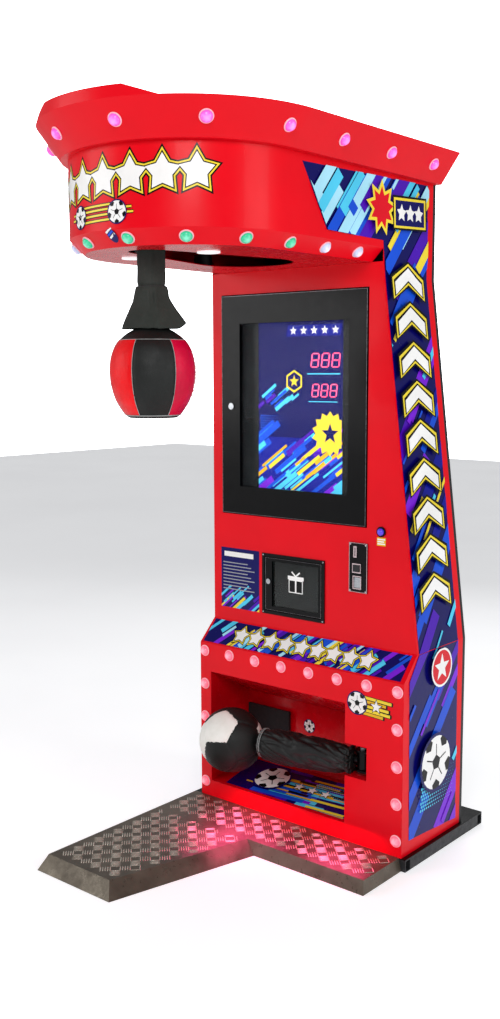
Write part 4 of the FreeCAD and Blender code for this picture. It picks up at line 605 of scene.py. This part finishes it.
def placeGroup():
    tree = bpy.data.node_groups.new("placeCopies", "GeometryNodeTree")
    face = tree.interface
    face.new_socket("Geometry", in_out="INPUT", socket_type="NodeSocketGeometry")
    face.new_socket("Copy", in_out="INPUT", socket_type="NodeSocketObject")
    face.new_socket("Size", in_out="INPUT", socket_type="NodeSocketFloat")
    face.new_socket("Size Spread", in_out="INPUT", socket_type="NodeSocketFloat")
    face.new_socket("Seed", in_out="INPUT", socket_type="NodeSocketInt")
    face.new_socket("Finish", in_out="INPUT", socket_type="NodeSocketMaterial")
    face.new_socket("Geometry", in_out="OUTPUT", socket_type="NodeSocketGeometry")
    source = tree.nodes.new("NodeGroupInput")
    result = tree.nodes.new("NodeGroupOutput")
    info = tree.nodes.new("GeometryNodeObjectInfo")
    turn = tree.nodes.new("GeometryNodeInputNamedAttribute")
    turn.data_type = "FLOAT_VECTOR"
    turn.inputs["Name"].default_value = "turn"
    toRotation = tree.nodes.new("FunctionNodeEulerToRotation")
    low = tree.nodes.new("ShaderNodeMath")
    low.operation = "SUBTRACT"
    high = tree.nodes.new("ShaderNodeMath")
    high.operation = "ADD"
    size = tree.nodes.new("FunctionNodeRandomValue")
    size.data_type = "FLOAT"
    copies = tree.nodes.new("GeometryNodeInstanceOnPoints")
    real = tree.nodes.new("GeometryNodeRealizeInstances")
    coat = tree.nodes.new("GeometryNodeSetMaterial")
    link = tree.links.new
    link(source.outputs["Geometry"], copies.inputs["Points"])
    link(source.outputs["Copy"], info.inputs["Object"])
    link(info.outputs["Geometry"], copies.inputs["Instance"])
    link(turn.outputs["Attribute"], toRotation.inputs[0])
    link(toRotation.outputs[0], copies.inputs["Rotation"])
    for node in (low, high):
        link(source.outputs["Size"], node.inputs[0])
        link(source.outputs["Size Spread"], node.inputs[1])
    floats = [socket for socket in size.inputs if socket.type == "VALUE" and socket.name in ("Min", "Max")]
    link(low.outputs[0], floats[0])
    link(high.outputs[0], floats[1])
    link(source.outputs["Seed"], size.inputs["Seed"])
    link([socket for socket in size.outputs if socket.type == "VALUE"][0], copies.inputs["Scale"])
    link(copies.outputs["Instances"], real.inputs["Geometry"])
    link(real.outputs["Geometry"], coat.inputs["Geometry"])
    link(source.outputs["Finish"], coat.inputs["Material"])
    link(coat.outputs["Geometry"], result.inputs["Geometry"])
    return tree


copyGroup = placeGroup()


def scatter(name, spots, model, body, look, spread=0.0, seed=1, size=1.0):
    # spots: (point, euler turn) pairs; model: (verts, faces, core values or None)
    mesh = bpy.data.meshes.new(name + "Points")
    mesh.from_pydata([tuple(point) for point, turn in spots], [], [])
    layer = mesh.attributes.new("turn", "FLOAT_VECTOR", "POINT")
    layer.data.foreach_set("vector", [value for point, turn in spots for value in turn])
    holder = bpy.data.objects.new(name + "Points", mesh)
    bpy.context.scene.collection.objects.link(holder)
    verts, faces, core = model
    small = bpy.data.meshes.new(name + "Model")
    small.from_pydata([tuple(v) for v in verts], [], faces)
    small.polygons.foreach_set("use_smooth", [True] * len(small.polygons))
    if core is not None:
        layer = small.attributes.new("core", "FLOAT_COLOR", "POINT")
        layer.data.foreach_set("color", [value for colour in core for value in colour])
    copy = bpy.data.objects.new(name + "Model", small)
    bpy.context.scene.collection.objects.link(copy)
    modifier = holder.modifiers.new("place", "NODES")
    modifier.node_group = copyGroup
    given = {"Copy": copy, "Size": size, "Size Spread": spread, "Seed": seed, "Finish": finish[look]}
    for item in copyGroup.interface.items_tree:
        if item.in_out == "INPUT" and item.name in given:
            modifier[item.identifier] = given[item.name]
    bpy.context.view_layer.update()
    graph = bpy.context.evaluated_depsgraph_get()
    made = bpy.data.meshes.new_from_object(holder.evaluated_get(graph), depsgraph=graph)
    piece = bpy.data.objects.new(name, made)
    bpy.context.scene.collection.objects.link(piece)
    for old in (holder, copy):
        bpy.data.objects.remove(old)
    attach(piece, body)
    return piece


def lathe(profile, sides=32):
    # surface of revolution about Z, profile of (radius, height) from bottom to top
    rings = [[(max(r, 1e-5) * math.cos(2 * math.pi * k / sides), max(r, 1e-5) * math.sin(2 * math.pi * k / sides), z)
              for k in range(sides)] for r, z in profile]
    return loft(rings, True, True)


def lampSpots(node, axisOf):
    # base point and turn of each CAD lamp
    shape = bmesh.new()
    shape.from_mesh(nodes[node].data)
    bmesh.ops.remove_doubles(shape, verts=shape.verts, dist=1e-6)
    shape.verts.ensure_lookup_table()
    seen, spots = set(), []
    for vert in shape.verts:
        if vert.index in seen:
            continue
        island, queue = [], [vert]
        seen.add(vert.index)
        while queue:
            here = queue.pop()
            island.append(here.co.copy())
            for edge in here.link_edges:
                other = edge.other_vert(here)
                if other.index not in seen:
                    seen.add(other.index)
                    queue.append(other)
        points = np.array(island)
        middle = (points.min(0) + points.max(0)) / 2
        axis = axisOf(Vector(middle)).normalized()
        along = points @ np.array(axis)
        rear = points[along < along.min() + 1e-4].mean(0)
        spots.append((Vector(rear) + axis * 0.008, axis.to_track_quat("Z", "Y").to_euler()))
    shape.free()
    return spots


def outwardOf(drop):
    def axisOf(point):
        flat = Vector((point.x, point.y - hoodCentre, 0)) if point.y < hoodCentre else Vector((point.x, 0, 0))
        return flat.normalized() - Vector((0, 0, drop))
    return axisOf


domeModel = {"bezelR": 0.019, "bezelH": 0.0035, "domeR": 0.0162, "domeH": 0.0130, "leds": 7}
bezelProfile = [(0.0105, -0.004), (0.019, 0.0), (0.0193, 0.0012), (0.0186, 0.0030), (0.0172, 0.0037), (0.0164, 0.0030), (0.0150, 0.0024)]
bezelVerts, bezelFaces = lathe(bezelProfile, 36)


def domeShape(edge, heart):
    rows = []
    for k in range(10):
        a = math.pi / 2 * k / 9
        rows.append((domeModel["domeR"] * math.cos(a) + 1e-5, 0.0022 + domeModel["domeH"] * math.sin(a)))
    verts, faces = lathe(rows, 36)
    core = []
    for x, y, z in verts:
        share = min(math.hypot(x, y) / domeModel["domeR"], 1)
        spot = 0.5 + 0.5 * math.cos(6 * math.atan2(y, x)) if 0.35 < share < 0.8 else 0
        mix = min(share ** 1.6 + 0.25 * spot, 1)
        core.append(tuple(heart[i] + (edge[i] - heart[i]) * mix for i in range(4)))
    return verts, faces, core


lampSets = {
    "frontLamps": ("front_lamps", lambda p: Vector((0, -1, 0)), lambda p: "pink"),
    "crownLamps": ("crown_lamps", outwardOf(65 / 90), lambda p: "rose"),
    "hoodLamps": ("hood_lamps", outwardOf(1.0), lambda p: "ice" if p.y > -0.25 or p.x < -0.12 else "green"),
}
lampColours = {"pink": ("ff7c90", "ffc0c8"), "rose": ("f060d8", "f8a4f4"), "green": ("10c88a", "6cf0c4"), "ice": ("90d0e8", "e0f8ff")}
for name, (node, axisOf, colourOf) in lampSets.items():
    spots = lampSpots(node, axisOf)
    bezel = scatter(name + "Bezels", spots, (bezelVerts, bezelFaces, None), "cabinet", "lampRing")
    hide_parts(node)
    for colour, (edge, heart) in lampColours.items():
        chosen = [spot for spot in spots if colourOf(spot[0]) == colour]
        if chosen:
            scatter(name + colour.capitalize() + "Domes", chosen, domeShape(linear(edge), linear(heart)), "cabinet", "pinkDome")
print("stage: lamps")

# raised bars of the tread plates, five to a cell and turned at every other cell
tread = {"pitch": 0.042, "barLength": 0.034, "barWidth": 0.0042, "barHeight": 0.0015, "gap": 0.0074, "margin": 0.004}


def inside(point, outline):
    area = sum(a[0] * b[1] - b[0] * a[1] for a, b in zip(outline, outline[1:] + outline[:1]))
    sign = 1 if area > 0 else -1
    return all(sign * ((b[0] - a[0]) * (point[1] - a[1]) - (b[1] - a[1]) * (point[0] - a[0]))
               > tread["margin"] * math.hypot(b[0] - a[0], b[1] - a[1])
               for a, b in zip(outline, outline[1:] + outline[:1]))


def barModel():
    # long low lens with a rounded top
    verts, faces, rows, across = [], [], 10, 6
    for row in range(rows + 1):
        s = row / rows * 2 - 1
        half = tread["barWidth"] / 2 * math.sqrt(max(1 - s * s, 0)) ** 0.8
        for column in range(across + 1):
            t = column / across * 2 - 1
            verts.append((s * tread["barLength"] / 2, t * half, tread["barHeight"] * (1 - t * t) * (1 - s ** 4)))
    for row in range(rows):
        for column in range(across):
            first = row * (across + 1) + column
            faces.append((first, first + across + 1, first + across + 2, first + 1))
    return verts, faces, None


def treadSpots(outline, top):
    low = [min(p[k] for p in outline) for k in (0, 1)]
    high = [max(p[k] for p in outline) for k in (0, 1)]
    spots = []
    turned = math.radians(45)
    for i in range(int((high[0] - low[0]) / tread["pitch"]) + 2):
        for j in range(int((high[1] - low[1]) / tread["pitch"]) + 2):
            angle = turned if (i + j) % 2 else -turned
            centre = Vector((low[0] + i * tread["pitch"], low[1] + j * tread["pitch"], top))
            side = Vector((-math.sin(angle), math.cos(angle), 0))
            for k in range(-2, 3):
                point = centre + side * tread["gap"] * k
                ends = [point + Vector((math.cos(angle), math.sin(angle), 0)) * tread["barLength"] / 2 * sign for sign in (-1, 1)]
                if all(inside(end, outline) for end in ends):
                    spots.append((point, (0, 0, angle)))
    return spots


platformLine = [(-0.373, -0.190), (0.473, -0.190), (0.473, -0.001), (-0.373, -0.001)]
runwayLine = [(-0.373, -0.665), (-0.099, -0.665), (0.027, -0.190), (-0.373, -0.190)]
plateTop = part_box("front_tread_plate")[1].z
scatter("platformBars", treadSpots(platformLine, plateTop - 0.0001), barModel(), "cabinet", "treadBar", 0.05, 4)
scatter("runwayBars", treadSpots(runwayLine, plateTop - 0.0001), barModel(), "cabinet", "treadBar", 0.05, 5)
print("stage: tread plates")

# dome-head screws on the rear board, side edges and prize frame
screwProfile = [(0.0046, 0.0), (0.0048, 0.0006), (0.0042, 0.0020), (0.0028, 0.0028), (0.0018, 0.0029), (0.0017, 0.0016), (0.0001, 0.0015)]
screwVerts, screwFaces = lathe(screwProfile, 20)
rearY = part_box("rear_panel")[1].y
toRear = Vector((0, 1, 0)).to_track_quat("Z", "Y").to_euler()
rearScrews = [(Vector((-0.325, rearY, z / 1000)), toRear) for z in range(80, 2090, 250)]
rearScrews += [(Vector((wallX(z / 1000) - 0.018, rearY, z / 1000)), toRear) for z in range(80, 2090, 250)]
rearScrews += [(Vector((x / 1000, rearY, z)), toRear) for x in range(-200, 300, 130) for z in (0.06, 2.075)]
scatter("rearScrews", rearScrews, (screwVerts, screwFaces, None), "cabinet", "zincSteel")
toFront = Vector((0, -1, 0)).to_track_quat("Z", "Y").to_euler()
trimLow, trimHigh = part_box("prize_frame")
trimScrews = [(Vector((x, trimLow.y, z)), toFront) for x in (trimLow.x + 0.0055, trimHigh.x - 0.0055)
              for z in (trimLow.z + 0.0055, trimHigh.z - 0.0055)]
scatter("prizeScrews", trimScrews, (screwVerts, screwFaces, None), "cabinet", "zincSteel", size=0.6)
plateScrews = [(Vector((x, plateLow.y + 0.0030, z)), toFront) for x in (plateLow.x + 0.005, plateHigh.x - 0.005)
               for z in (plateLow.z + 0.005, plateHigh.z - 0.005)]
scatter("coinScrews", plateScrews, (screwVerts, screwFaces, None), "cabinet", "chrome", size=0.7)
print("stage: screws")

# ---- soft goods ----

punchX, punchY = 0.0, -0.556


def smoothLine(points, count):
    # Catmull-Rom line through (radius, height) points
    points = [Vector(p) for p in points]
    padded = [points[0] * 2 - points[1]] + points + [points[-1] * 2 - points[-2]]
    made = []
    for step in range(count):
        where = step / (count - 1) * (len(points) - 1)
        k = min(int(where), len(points) - 2)
        t = where - k
        a, b, c, d = padded[k:k + 4]
        made.append(0.5 * ((2 * b) + (c - a) * t + (2 * a - 5 * b + 4 * c - d) * t * t + (3 * b - a - 3 * c + d) * t ** 3))
    return made


bag = {"r": 0.1185, "gores": 6, "blackAt": -43.0, "seam": 0.05, "bandTop": 1.603, "capTop": 1.396, "steps": 192, "rows": 90}
bagLine = smoothLine([(0.066, 1.3895), (0.074, 1.396), (0.089, 1.416), (0.1035, 1.441), (0.114, 1.474), (0.1185, 1.514),
                      (0.115, 1.553), (0.103, 1.586), (0.080, 1.613), (0.050, 1.632), (0.030, 1.639)], bag["rows"])
seamAngles = [math.radians(bag["blackAt"] + 30 + 60 * k) for k in range(6)]


def bagPoint(angle, radius, z):
    near = min(abs(math.remainder(angle - seam, 2 * math.pi)) for seam in seamAngles)
    belly = min(max((z - 1.40) / 0.06, 0), 1) * min(max((1.62 - z) / 0.05, 0), 1)
    dip = 0.0022 * math.exp(-(near / bag["seam"]) ** 2) * belly
    swell = 0.0012 * math.sin(min(near / 0.52, 1) * math.pi / 2) * belly
    ripple = 0.0005 * noise.noise(Vector((math.cos(angle) * 9, math.sin(angle) * 9, z * 60)))
    r = radius - dip + swell + ripple
    return (punchX + r * math.cos(angle), punchY + r * math.sin(angle), z)


rings = [[bagPoint(2 * math.pi * k / bag["steps"], r, z) for k in range(bag["steps"])] for r, z in bagLine]
verts, faces = loft(rings)
colourIndex = []
for face in faces:
    if len(face) > 4:
        colourIndex.append(1)
        continue
    centre = sum((Vector(verts[i]) for i in face), Vector()) / 4
    angle = math.degrees(math.atan2(centre.y - punchY, centre.x))
    gore = round(((angle - bag["blackAt"]) % 360) / 60) % 6
    plain = centre.z > bag["bandTop"] or centre.z < bag["capTop"]
    colourIndex.append(1 if plain or gore % 2 == 0 else (2 if gore == 1 else 0))
punchBag = meshPiece("punchBag", verts, faces, "punch", ["redLeather", "blackLeather", "crimsonLeather"], colourIndex, True)
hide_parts("punch_bag")


def radiusAt(z):
    return float(np.interp(z, [p[1] for p in bagLine], [p[0] for p in bagLine]))


def bagRing(z, extra, count=120):
    return [bagPoint(2 * math.pi * k / count, radiusAt(z) + extra, z) for k in range(count)]


cords = []
for seam in seamAngles:
    cords.append(tubeAlong([bagPoint(seam, radiusAt(z) + 0.0014, z) for z in np.linspace(1.398, bag["bandTop"], 40)], 0.0010))
cords.append(tubeAlong(bagRing(1.397, 0.0006), 0.0016, closed=True))
cords.append(tubeAlong(bagRing(bag["bandTop"], 0.0004), 0.0010, closed=True))
verts, faces = join(cords)
piping = meshPiece("bagPiping", verts, faces, "punch", ["thread"], smooth=True)
laces = []
laceAt = seamAngles[1] - 0.17
for k in range(13):
    z = 1.425 + k * 0.0115
    ends = [(laceAt - 0.05, z), (laceAt + 0.05, z + 0.0095)] if k % 2 else [(laceAt + 0.05, z), (laceAt - 0.05, z + 0.0095)]
    laces.append(tubeAlong([bagPoint(ends[0][0] + (ends[1][0] - ends[0][0]) * t,
                                     radiusAt(ends[0][1]) + 0.0012 + 0.0015 * math.sin(math.pi * t),
                                     ends[0][1] + (ends[1][1] - ends[0][1]) * t) for t in np.linspace(0, 1, 9)], 0.0013))
verts, faces = join(laces)
meshPiece("bagLaces", verts, faces, "punch", ["whiteLeather"], smooth=True)
print("stage: punch bag")


def squarish(half, halfDeep, corner, count, z, wave=0.0):
    # rounded rectangle as a ring of points round the punch arm
    ring = []
    for k in range(count):
        a = 2 * math.pi * k / count
        power = 2 / corner
        x = math.copysign(abs(math.cos(a)) ** power, math.cos(a)) * half
        y = math.copysign(abs(math.sin(a)) ** power, math.sin(a)) * halfDeep
        n = noise.noise(Vector((math.cos(a) * 2.2, math.sin(a) * 2.2, z * 26)))
        ring.append((punchX + x * (1 + wave * n), punchY + y * (1 + wave * n), z))
    return ring


armSleeve = {"half": 0.0340, "deep": 0.0250, "low": 1.7425, "high": 1.8715, "rows": 40, "count": 72}
rings = []
for row in range(armSleeve["rows"]):
    t = row / (armSleeve["rows"] - 1)
    z = armSleeve["low"] + (armSleeve["high"] - armSleeve["low"]) * t
    pull = 1 - 0.05 * math.exp(-((t - 0.06) / 0.05) ** 2)
    rings.append(squarish(armSleeve["half"] * pull, armSleeve["deep"] * pull, 9.0, armSleeve["count"], z, 0.03))
verts, faces = loft(rings)
sleevePiece = meshPiece("armSleeve", verts, faces, "punch", ["neoprene"], smooth=True)
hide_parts("arm_sleeve")


def simulate(piece, frames, pinned, pressure=0.0, gravity=1.0, shrink=0.0, cap=0.02, stiff=8.0, bend=0.5, colliders=()):
    # cloth run with the result written back, no point moving further than cap
    before = [v.co.copy() for v in piece.data.vertices]
    group = piece.vertex_groups.new(name="pinned")
    for index, weight in pinned.items():
        group.add([index], weight, "REPLACE")
    for other in colliders:
        other.modifiers.new("collide", "COLLISION")
        other.collision.thickness_outer = 0.002
    cloth = piece.modifiers.new("cloth", "CLOTH")
    cloth.settings.quality = 7
    cloth.settings.mass = 0.25
    cloth.settings.tension_stiffness = stiff
    cloth.settings.compression_stiffness = stiff
    cloth.settings.shear_stiffness = stiff * 0.6
    cloth.settings.bending_stiffness = bend
    cloth.settings.vertex_group_mass = "pinned"
    cloth.settings.pin_stiffness = 1.0
    cloth.settings.shrink_min = shrink
    cloth.settings.effector_weights.gravity = gravity
    if pressure:
        cloth.settings.use_pressure = True
        cloth.settings.uniform_pressure_force = pressure
    cloth.collision_settings.use_collision = bool(colliders)
    cloth.collision_settings.distance_min = 0.002
    cloth.point_cache.frame_start = 1
    cloth.point_cache.frame_end = frames
    for step in range(1, frames + 1):
        bpy.context.scene.frame_set(step)
    graph = bpy.context.evaluated_depsgraph_get()
    settled = [v.co.copy() for v in piece.evaluated_get(graph).data.vertices]
    piece.modifiers.clear()
    for other in colliders:
        other.modifiers.clear()
    bpy.context.scene.frame_set(1)
    for vert, old, new in zip(piece.data.vertices, before, settled):
        move = new - old
        vert.co = old + (move if move.length < cap else move.normalized() * cap)
    piece.data.update()
    piece.vertex_groups.clear()


def thicken(piece, thickness, levels=1):
    # real thickness and a smoother surface, written into the mesh
    solid = piece.modifiers.new("solid", "SOLIDIFY")
    solid.thickness = thickness
    solid.offset = 0
    if levels:
        smoother = piece.modifiers.new("smooth", "SUBSURF")
        smoother.levels = levels
        smoother.render_levels = levels
    bpy.context.view_layer.update()
    graph = bpy.context.evaluated_depsgraph_get()
    made = bpy.data.meshes.new_from_object(piece.evaluated_get(graph), depsgraph=graph)
    piece.modifiers.clear()
    piece.data = made
    made.polygons.foreach_set("use_smooth", [True] * len(made.polygons))


skirt = {"top": 1.748, "bottom": 1.634, "across": (0.765, 0.644), "stretch": 0.34, "count": 96, "rows": 26, "thickness": 0.003}
rings = []
for row in range(skirt["rows"]):
    t = row / (skirt["rows"] - 1)
    z = skirt["top"] - (skirt["top"] - skirt["bottom"]) * t
    half = 0.0365 + (0.064 - 0.0365) * t ** 1.05
    deep = 0.0280 + (0.060 - 0.0280) * t ** 1.05
    ring = squarish(half, deep, 7.0 - 4.6 * t, skirt["count"], z)
    shaped = []
    wide, long = skirt["across"]
    for k, (x, y, zz) in enumerate(ring):
        a = math.atan2(y - punchY, x)
        tip = math.exp(-((math.remainder(a - math.radians(40), 2 * math.pi)) / 0.30) ** 2) * t ** 2
        along = (x * wide + (y - punchY) * long) * skirt["stretch"] * t ** 1.3 + 0.012 * tip
        shaped.append((x + along * wide, y + along * long, zz + 0.016 * tip))
    rings.append(shaped)
verts, faces = loft(rings, False, False)
skirtPiece = meshPiece("bagSkirt", verts, faces, None, ["neoprene"], smooth=True)
simulate(skirtPiece, 24, {i: 1.0 for i in range(skirt["count"] * 3)}, stiff=10, bend=4.0, cap=0.006, shrink=-0.02,
         colliders=[punchBag])
thicken(skirtPiece, skirt["thickness"])
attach(skirtPiece, "punch")
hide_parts("bag_skirt")
hems = [tubeAlong([tuple(Vector(p) * 1.0) for p in squarish(0.0372, 0.0292, 5.0, 96, 1.7478)], 0.0012, closed=True)]
verts, faces = join(hems)
meshPiece("skirtHem", verts, faces, "punch", ["seamThread"], smooth=True)
print("stage: arm sleeve and skirt")

# kicker: sleeve along the arm, ball at its end
kick = {"pivot": Vector((0.312, 0.045, 0.300)), "rest": 11.4, "reach": 0.481, "ball": 0.108, "drop": 0.012}
armTurn = Matrix.Translation(kick["pivot"]) @ Matrix.Rotation(math.radians(kick["rest"]), 4, "Z")


def onArm(x, y, z):
    return armTurn @ Vector((x, y, z))


sleeve = {"count": 96, "rows": 110}
sleeveLine = smoothLine([(0.026, 0.0335), (0.044, 0.036), (0.050, 0.042), (0.040, 0.054), (0.0465, 0.078), (0.0510, 0.120),
                         (0.0540, 0.180), (0.0560, 0.240), (0.0560, 0.300), (0.051, 0.340), (0.046, 0.364)], sleeve["rows"])
rings = []
for r, x in sleeveLine:
    ring = []
    gather = math.exp(-((x - 0.042) / 0.014) ** 2) + 0.4 * math.exp(-((x - 0.364) / 0.018) ** 2)
    for k in range(sleeve["count"]):
        a = 2 * math.pi * k / sleeve["count"]
        turn = a + x * 7.0                          # creases run along the sleeve and wind round it a little
        crease = 1 - abs(noise.noise(Vector((math.cos(turn) * 2.6, math.sin(turn) * 2.6, x * 13)))) * 2.6
        fine = noise.noise(Vector((math.cos(a) * 3.5 + 7, math.sin(a) * 3.5, x * 60)))
        ruffle = math.sin(a * 15 + 5 * noise.noise(Vector((a, x * 30, 1)))) * 0.0040 * gather
        radius = r - 0.0065 * max(crease, 0) ** 2 + 0.0018 * fine + ruffle
        ring.append(onArm(-x, radius * math.cos(a), radius * math.sin(a) - 0.002))
    rings.append(ring)
verts, faces = loft(rings)
kickSleeve = meshPiece("kickerSleeve", verts, faces, None, ["nylon"], smooth=True)
ends = {i: 1.0 for i in range(sleeve["count"] * 3)}
ends.update({i: 1.0 for i in range(len(verts) - sleeve["count"] * 3, len(verts))})
simulate(kickSleeve, 14, ends, pressure=1.0, gravity=0.6, shrink=-0.07, cap=0.0050, stiff=6, bend=0.05)
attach(kickSleeve, "kicker")
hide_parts("kicker_sleeve")
print("stage: kicker sleeve")

golden = (1 + math.sqrt(5)) / 2
icoPoints = [Vector(p).normalized() for s in (-1, 1) for t in (-1, 1)
             for p in ((0, s, t * golden), (s, t * golden, 0), (t * golden, 0, s))]
towardEye = Vector((0.639, -0.759, 0.126)).normalized()
sideways = Vector((0.765, 0.644, 0)).normalized()
upward = sideways.cross(towardEye) * -1


def frameOf(a, b):
    third = a.cross(b).normalized()
    return Matrix((a, third, a.cross(third))).transposed()


# turn the ball so one white panel sits high on the left and its partner on the right edge
partner = next(p for p in icoPoints if abs(icoPoints[0].dot(p) + 0.447) < 0.01)
panelAims = [(-0.41 * sideways + 0.60 * upward + 0.66 * towardEye).normalized(), (0.98 * sideways + 0.15 * upward + 0.10 * towardEye).normalized()]
ballTurn = frameOf(*panelAims) @ frameOf(icoPoints[0], partner).transposed()
panels = [ballTurn @ p for p in icoPoints]
weights = np.ones(12)
directions = np.array([tuple(p) for p in panels])
whites = {int(np.argmax(directions @ np.array(sign * aim))) for aim in panelAims for sign in (1, -1)}
shape = bmesh.new()
bmesh.ops.create_icosphere(shape, subdivisions=6, radius=1.0)
ballCentre = onArm(-kick["reach"], 0, -kick["drop"])
dirs = np.array([tuple(v.co) for v in shape.verts])
near = (dirs @ directions.T) * weights
order = np.sort(near, axis=1)
margin = order[:, -1] - order[:, -2]
dip = 0.0030 * np.exp(-(margin / 0.012) ** 2)
puff = 0.0012 * np.minimum(margin / 0.10, 1)
for vert, small, big in zip(shape.verts, dip, puff):
    vert.co = ballCentre + vert.co * (kick["ball"] - 0.0012 - float(small) + float(big))
mesh = bpy.data.meshes.new("kickerBall")
shape.to_mesh(mesh)
shape.free()
for item in ("blackLeather", "whiteLeather"):
    mesh.materials.append(finish[item])
for face in mesh.polygons:
    out = np.array((Vector(face.center) - ballCentre).normalized())
    face.material_index = 1 if int(np.argmax((directions @ out) * weights)) in whites else 0
mesh.polygons.foreach_set("use_smooth", [True] * len(mesh.polygons))
ballPiece = bpy.data.objects.new("kickerBall", mesh)
bpy.context.scene.collection.objects.link(ballPiece)
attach(ballPiece, "kicker")
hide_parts("kicker_ball")
collar = []
for r, x, thick in ((0.0475, 0.352, 0.0016), (0.0470, 0.358, 0.0012)):
    collar.append(tubeAlong([onArm(-x, r * math.cos(a), r * math.sin(a) - 0.002) for a in np.linspace(0, 2 * math.pi, 60, False)],
                            thick, closed=True))
verts, faces = join(collar)
meshPiece("sleevePiping", verts, faces, "kicker", ["thread"], smooth=True)
print("stage: kicker ball")



def brightLine(name, low, high, width, y, body, look):
    # thin bevelled strip round a rectangle that faces the front: trim border on the coin plate, painted edge highlight
    # on the two doors
    rings = []
    for grow, deep in ((0, 0), (0, 0.0006), (width * 0.3, 0.0010), (width * 0.7, 0.0010), (width, 0.0006), (width, 0)):
        rings.append([(low[0] + grow, y - deep, low[1] + grow), (high[0] - grow, y - deep, low[1] + grow),
                      (high[0] - grow, y - deep, high[1] - grow), (low[0] + grow, y - deep, high[1] - grow)])
    verts, faces = loft(rings, False, False)
    return meshPiece(name, verts, faces, body, [look])


brightLine("coinPlateEdge", (plateLow.x, plateLow.z), (plateHigh.x, plateHigh.z), 0.0018, plateLow.y + 0.003, "cabinet", "brushedTrim")
prizeLow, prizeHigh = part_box("prize_door_frame")
doorLow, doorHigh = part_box("display_door_frame")
# painted highlight: a grey metal strip along each black door frame's edge stands in for the light caught there
brightLine("prizeDoorEdge", (prizeLow.x + 0.001, prizeLow.z + 0.001), (prizeHigh.x - 0.001, prizeHigh.z - 0.001), 0.0010,
           prizeLow.y, "prize_door", "paintedEdgeHighlight")
brightLine("displayDoorEdge", (doorLow.x + 0.001, doorLow.z + 0.001), (doorHigh.x - 0.001, doorHigh.z - 0.001), 0.0014,
           doorLow.y, "display_door", "paintedEdgeHighlight")
print("stage: edge lines")

# floor
shape = bmesh.new()
bmesh.ops.create_grid(shape, x_segments=1, y_segments=1, size=14)
mesh = bpy.data.meshes.new("studioFloor")
shape.to_mesh(mesh)
shape.free()
mesh.materials.append(finish["studioFloor"])
ground = bpy.data.objects.new("studioFloor", mesh)
ground.location.z = -0.0005
bpy.context.scene.collection.objects.link(ground)
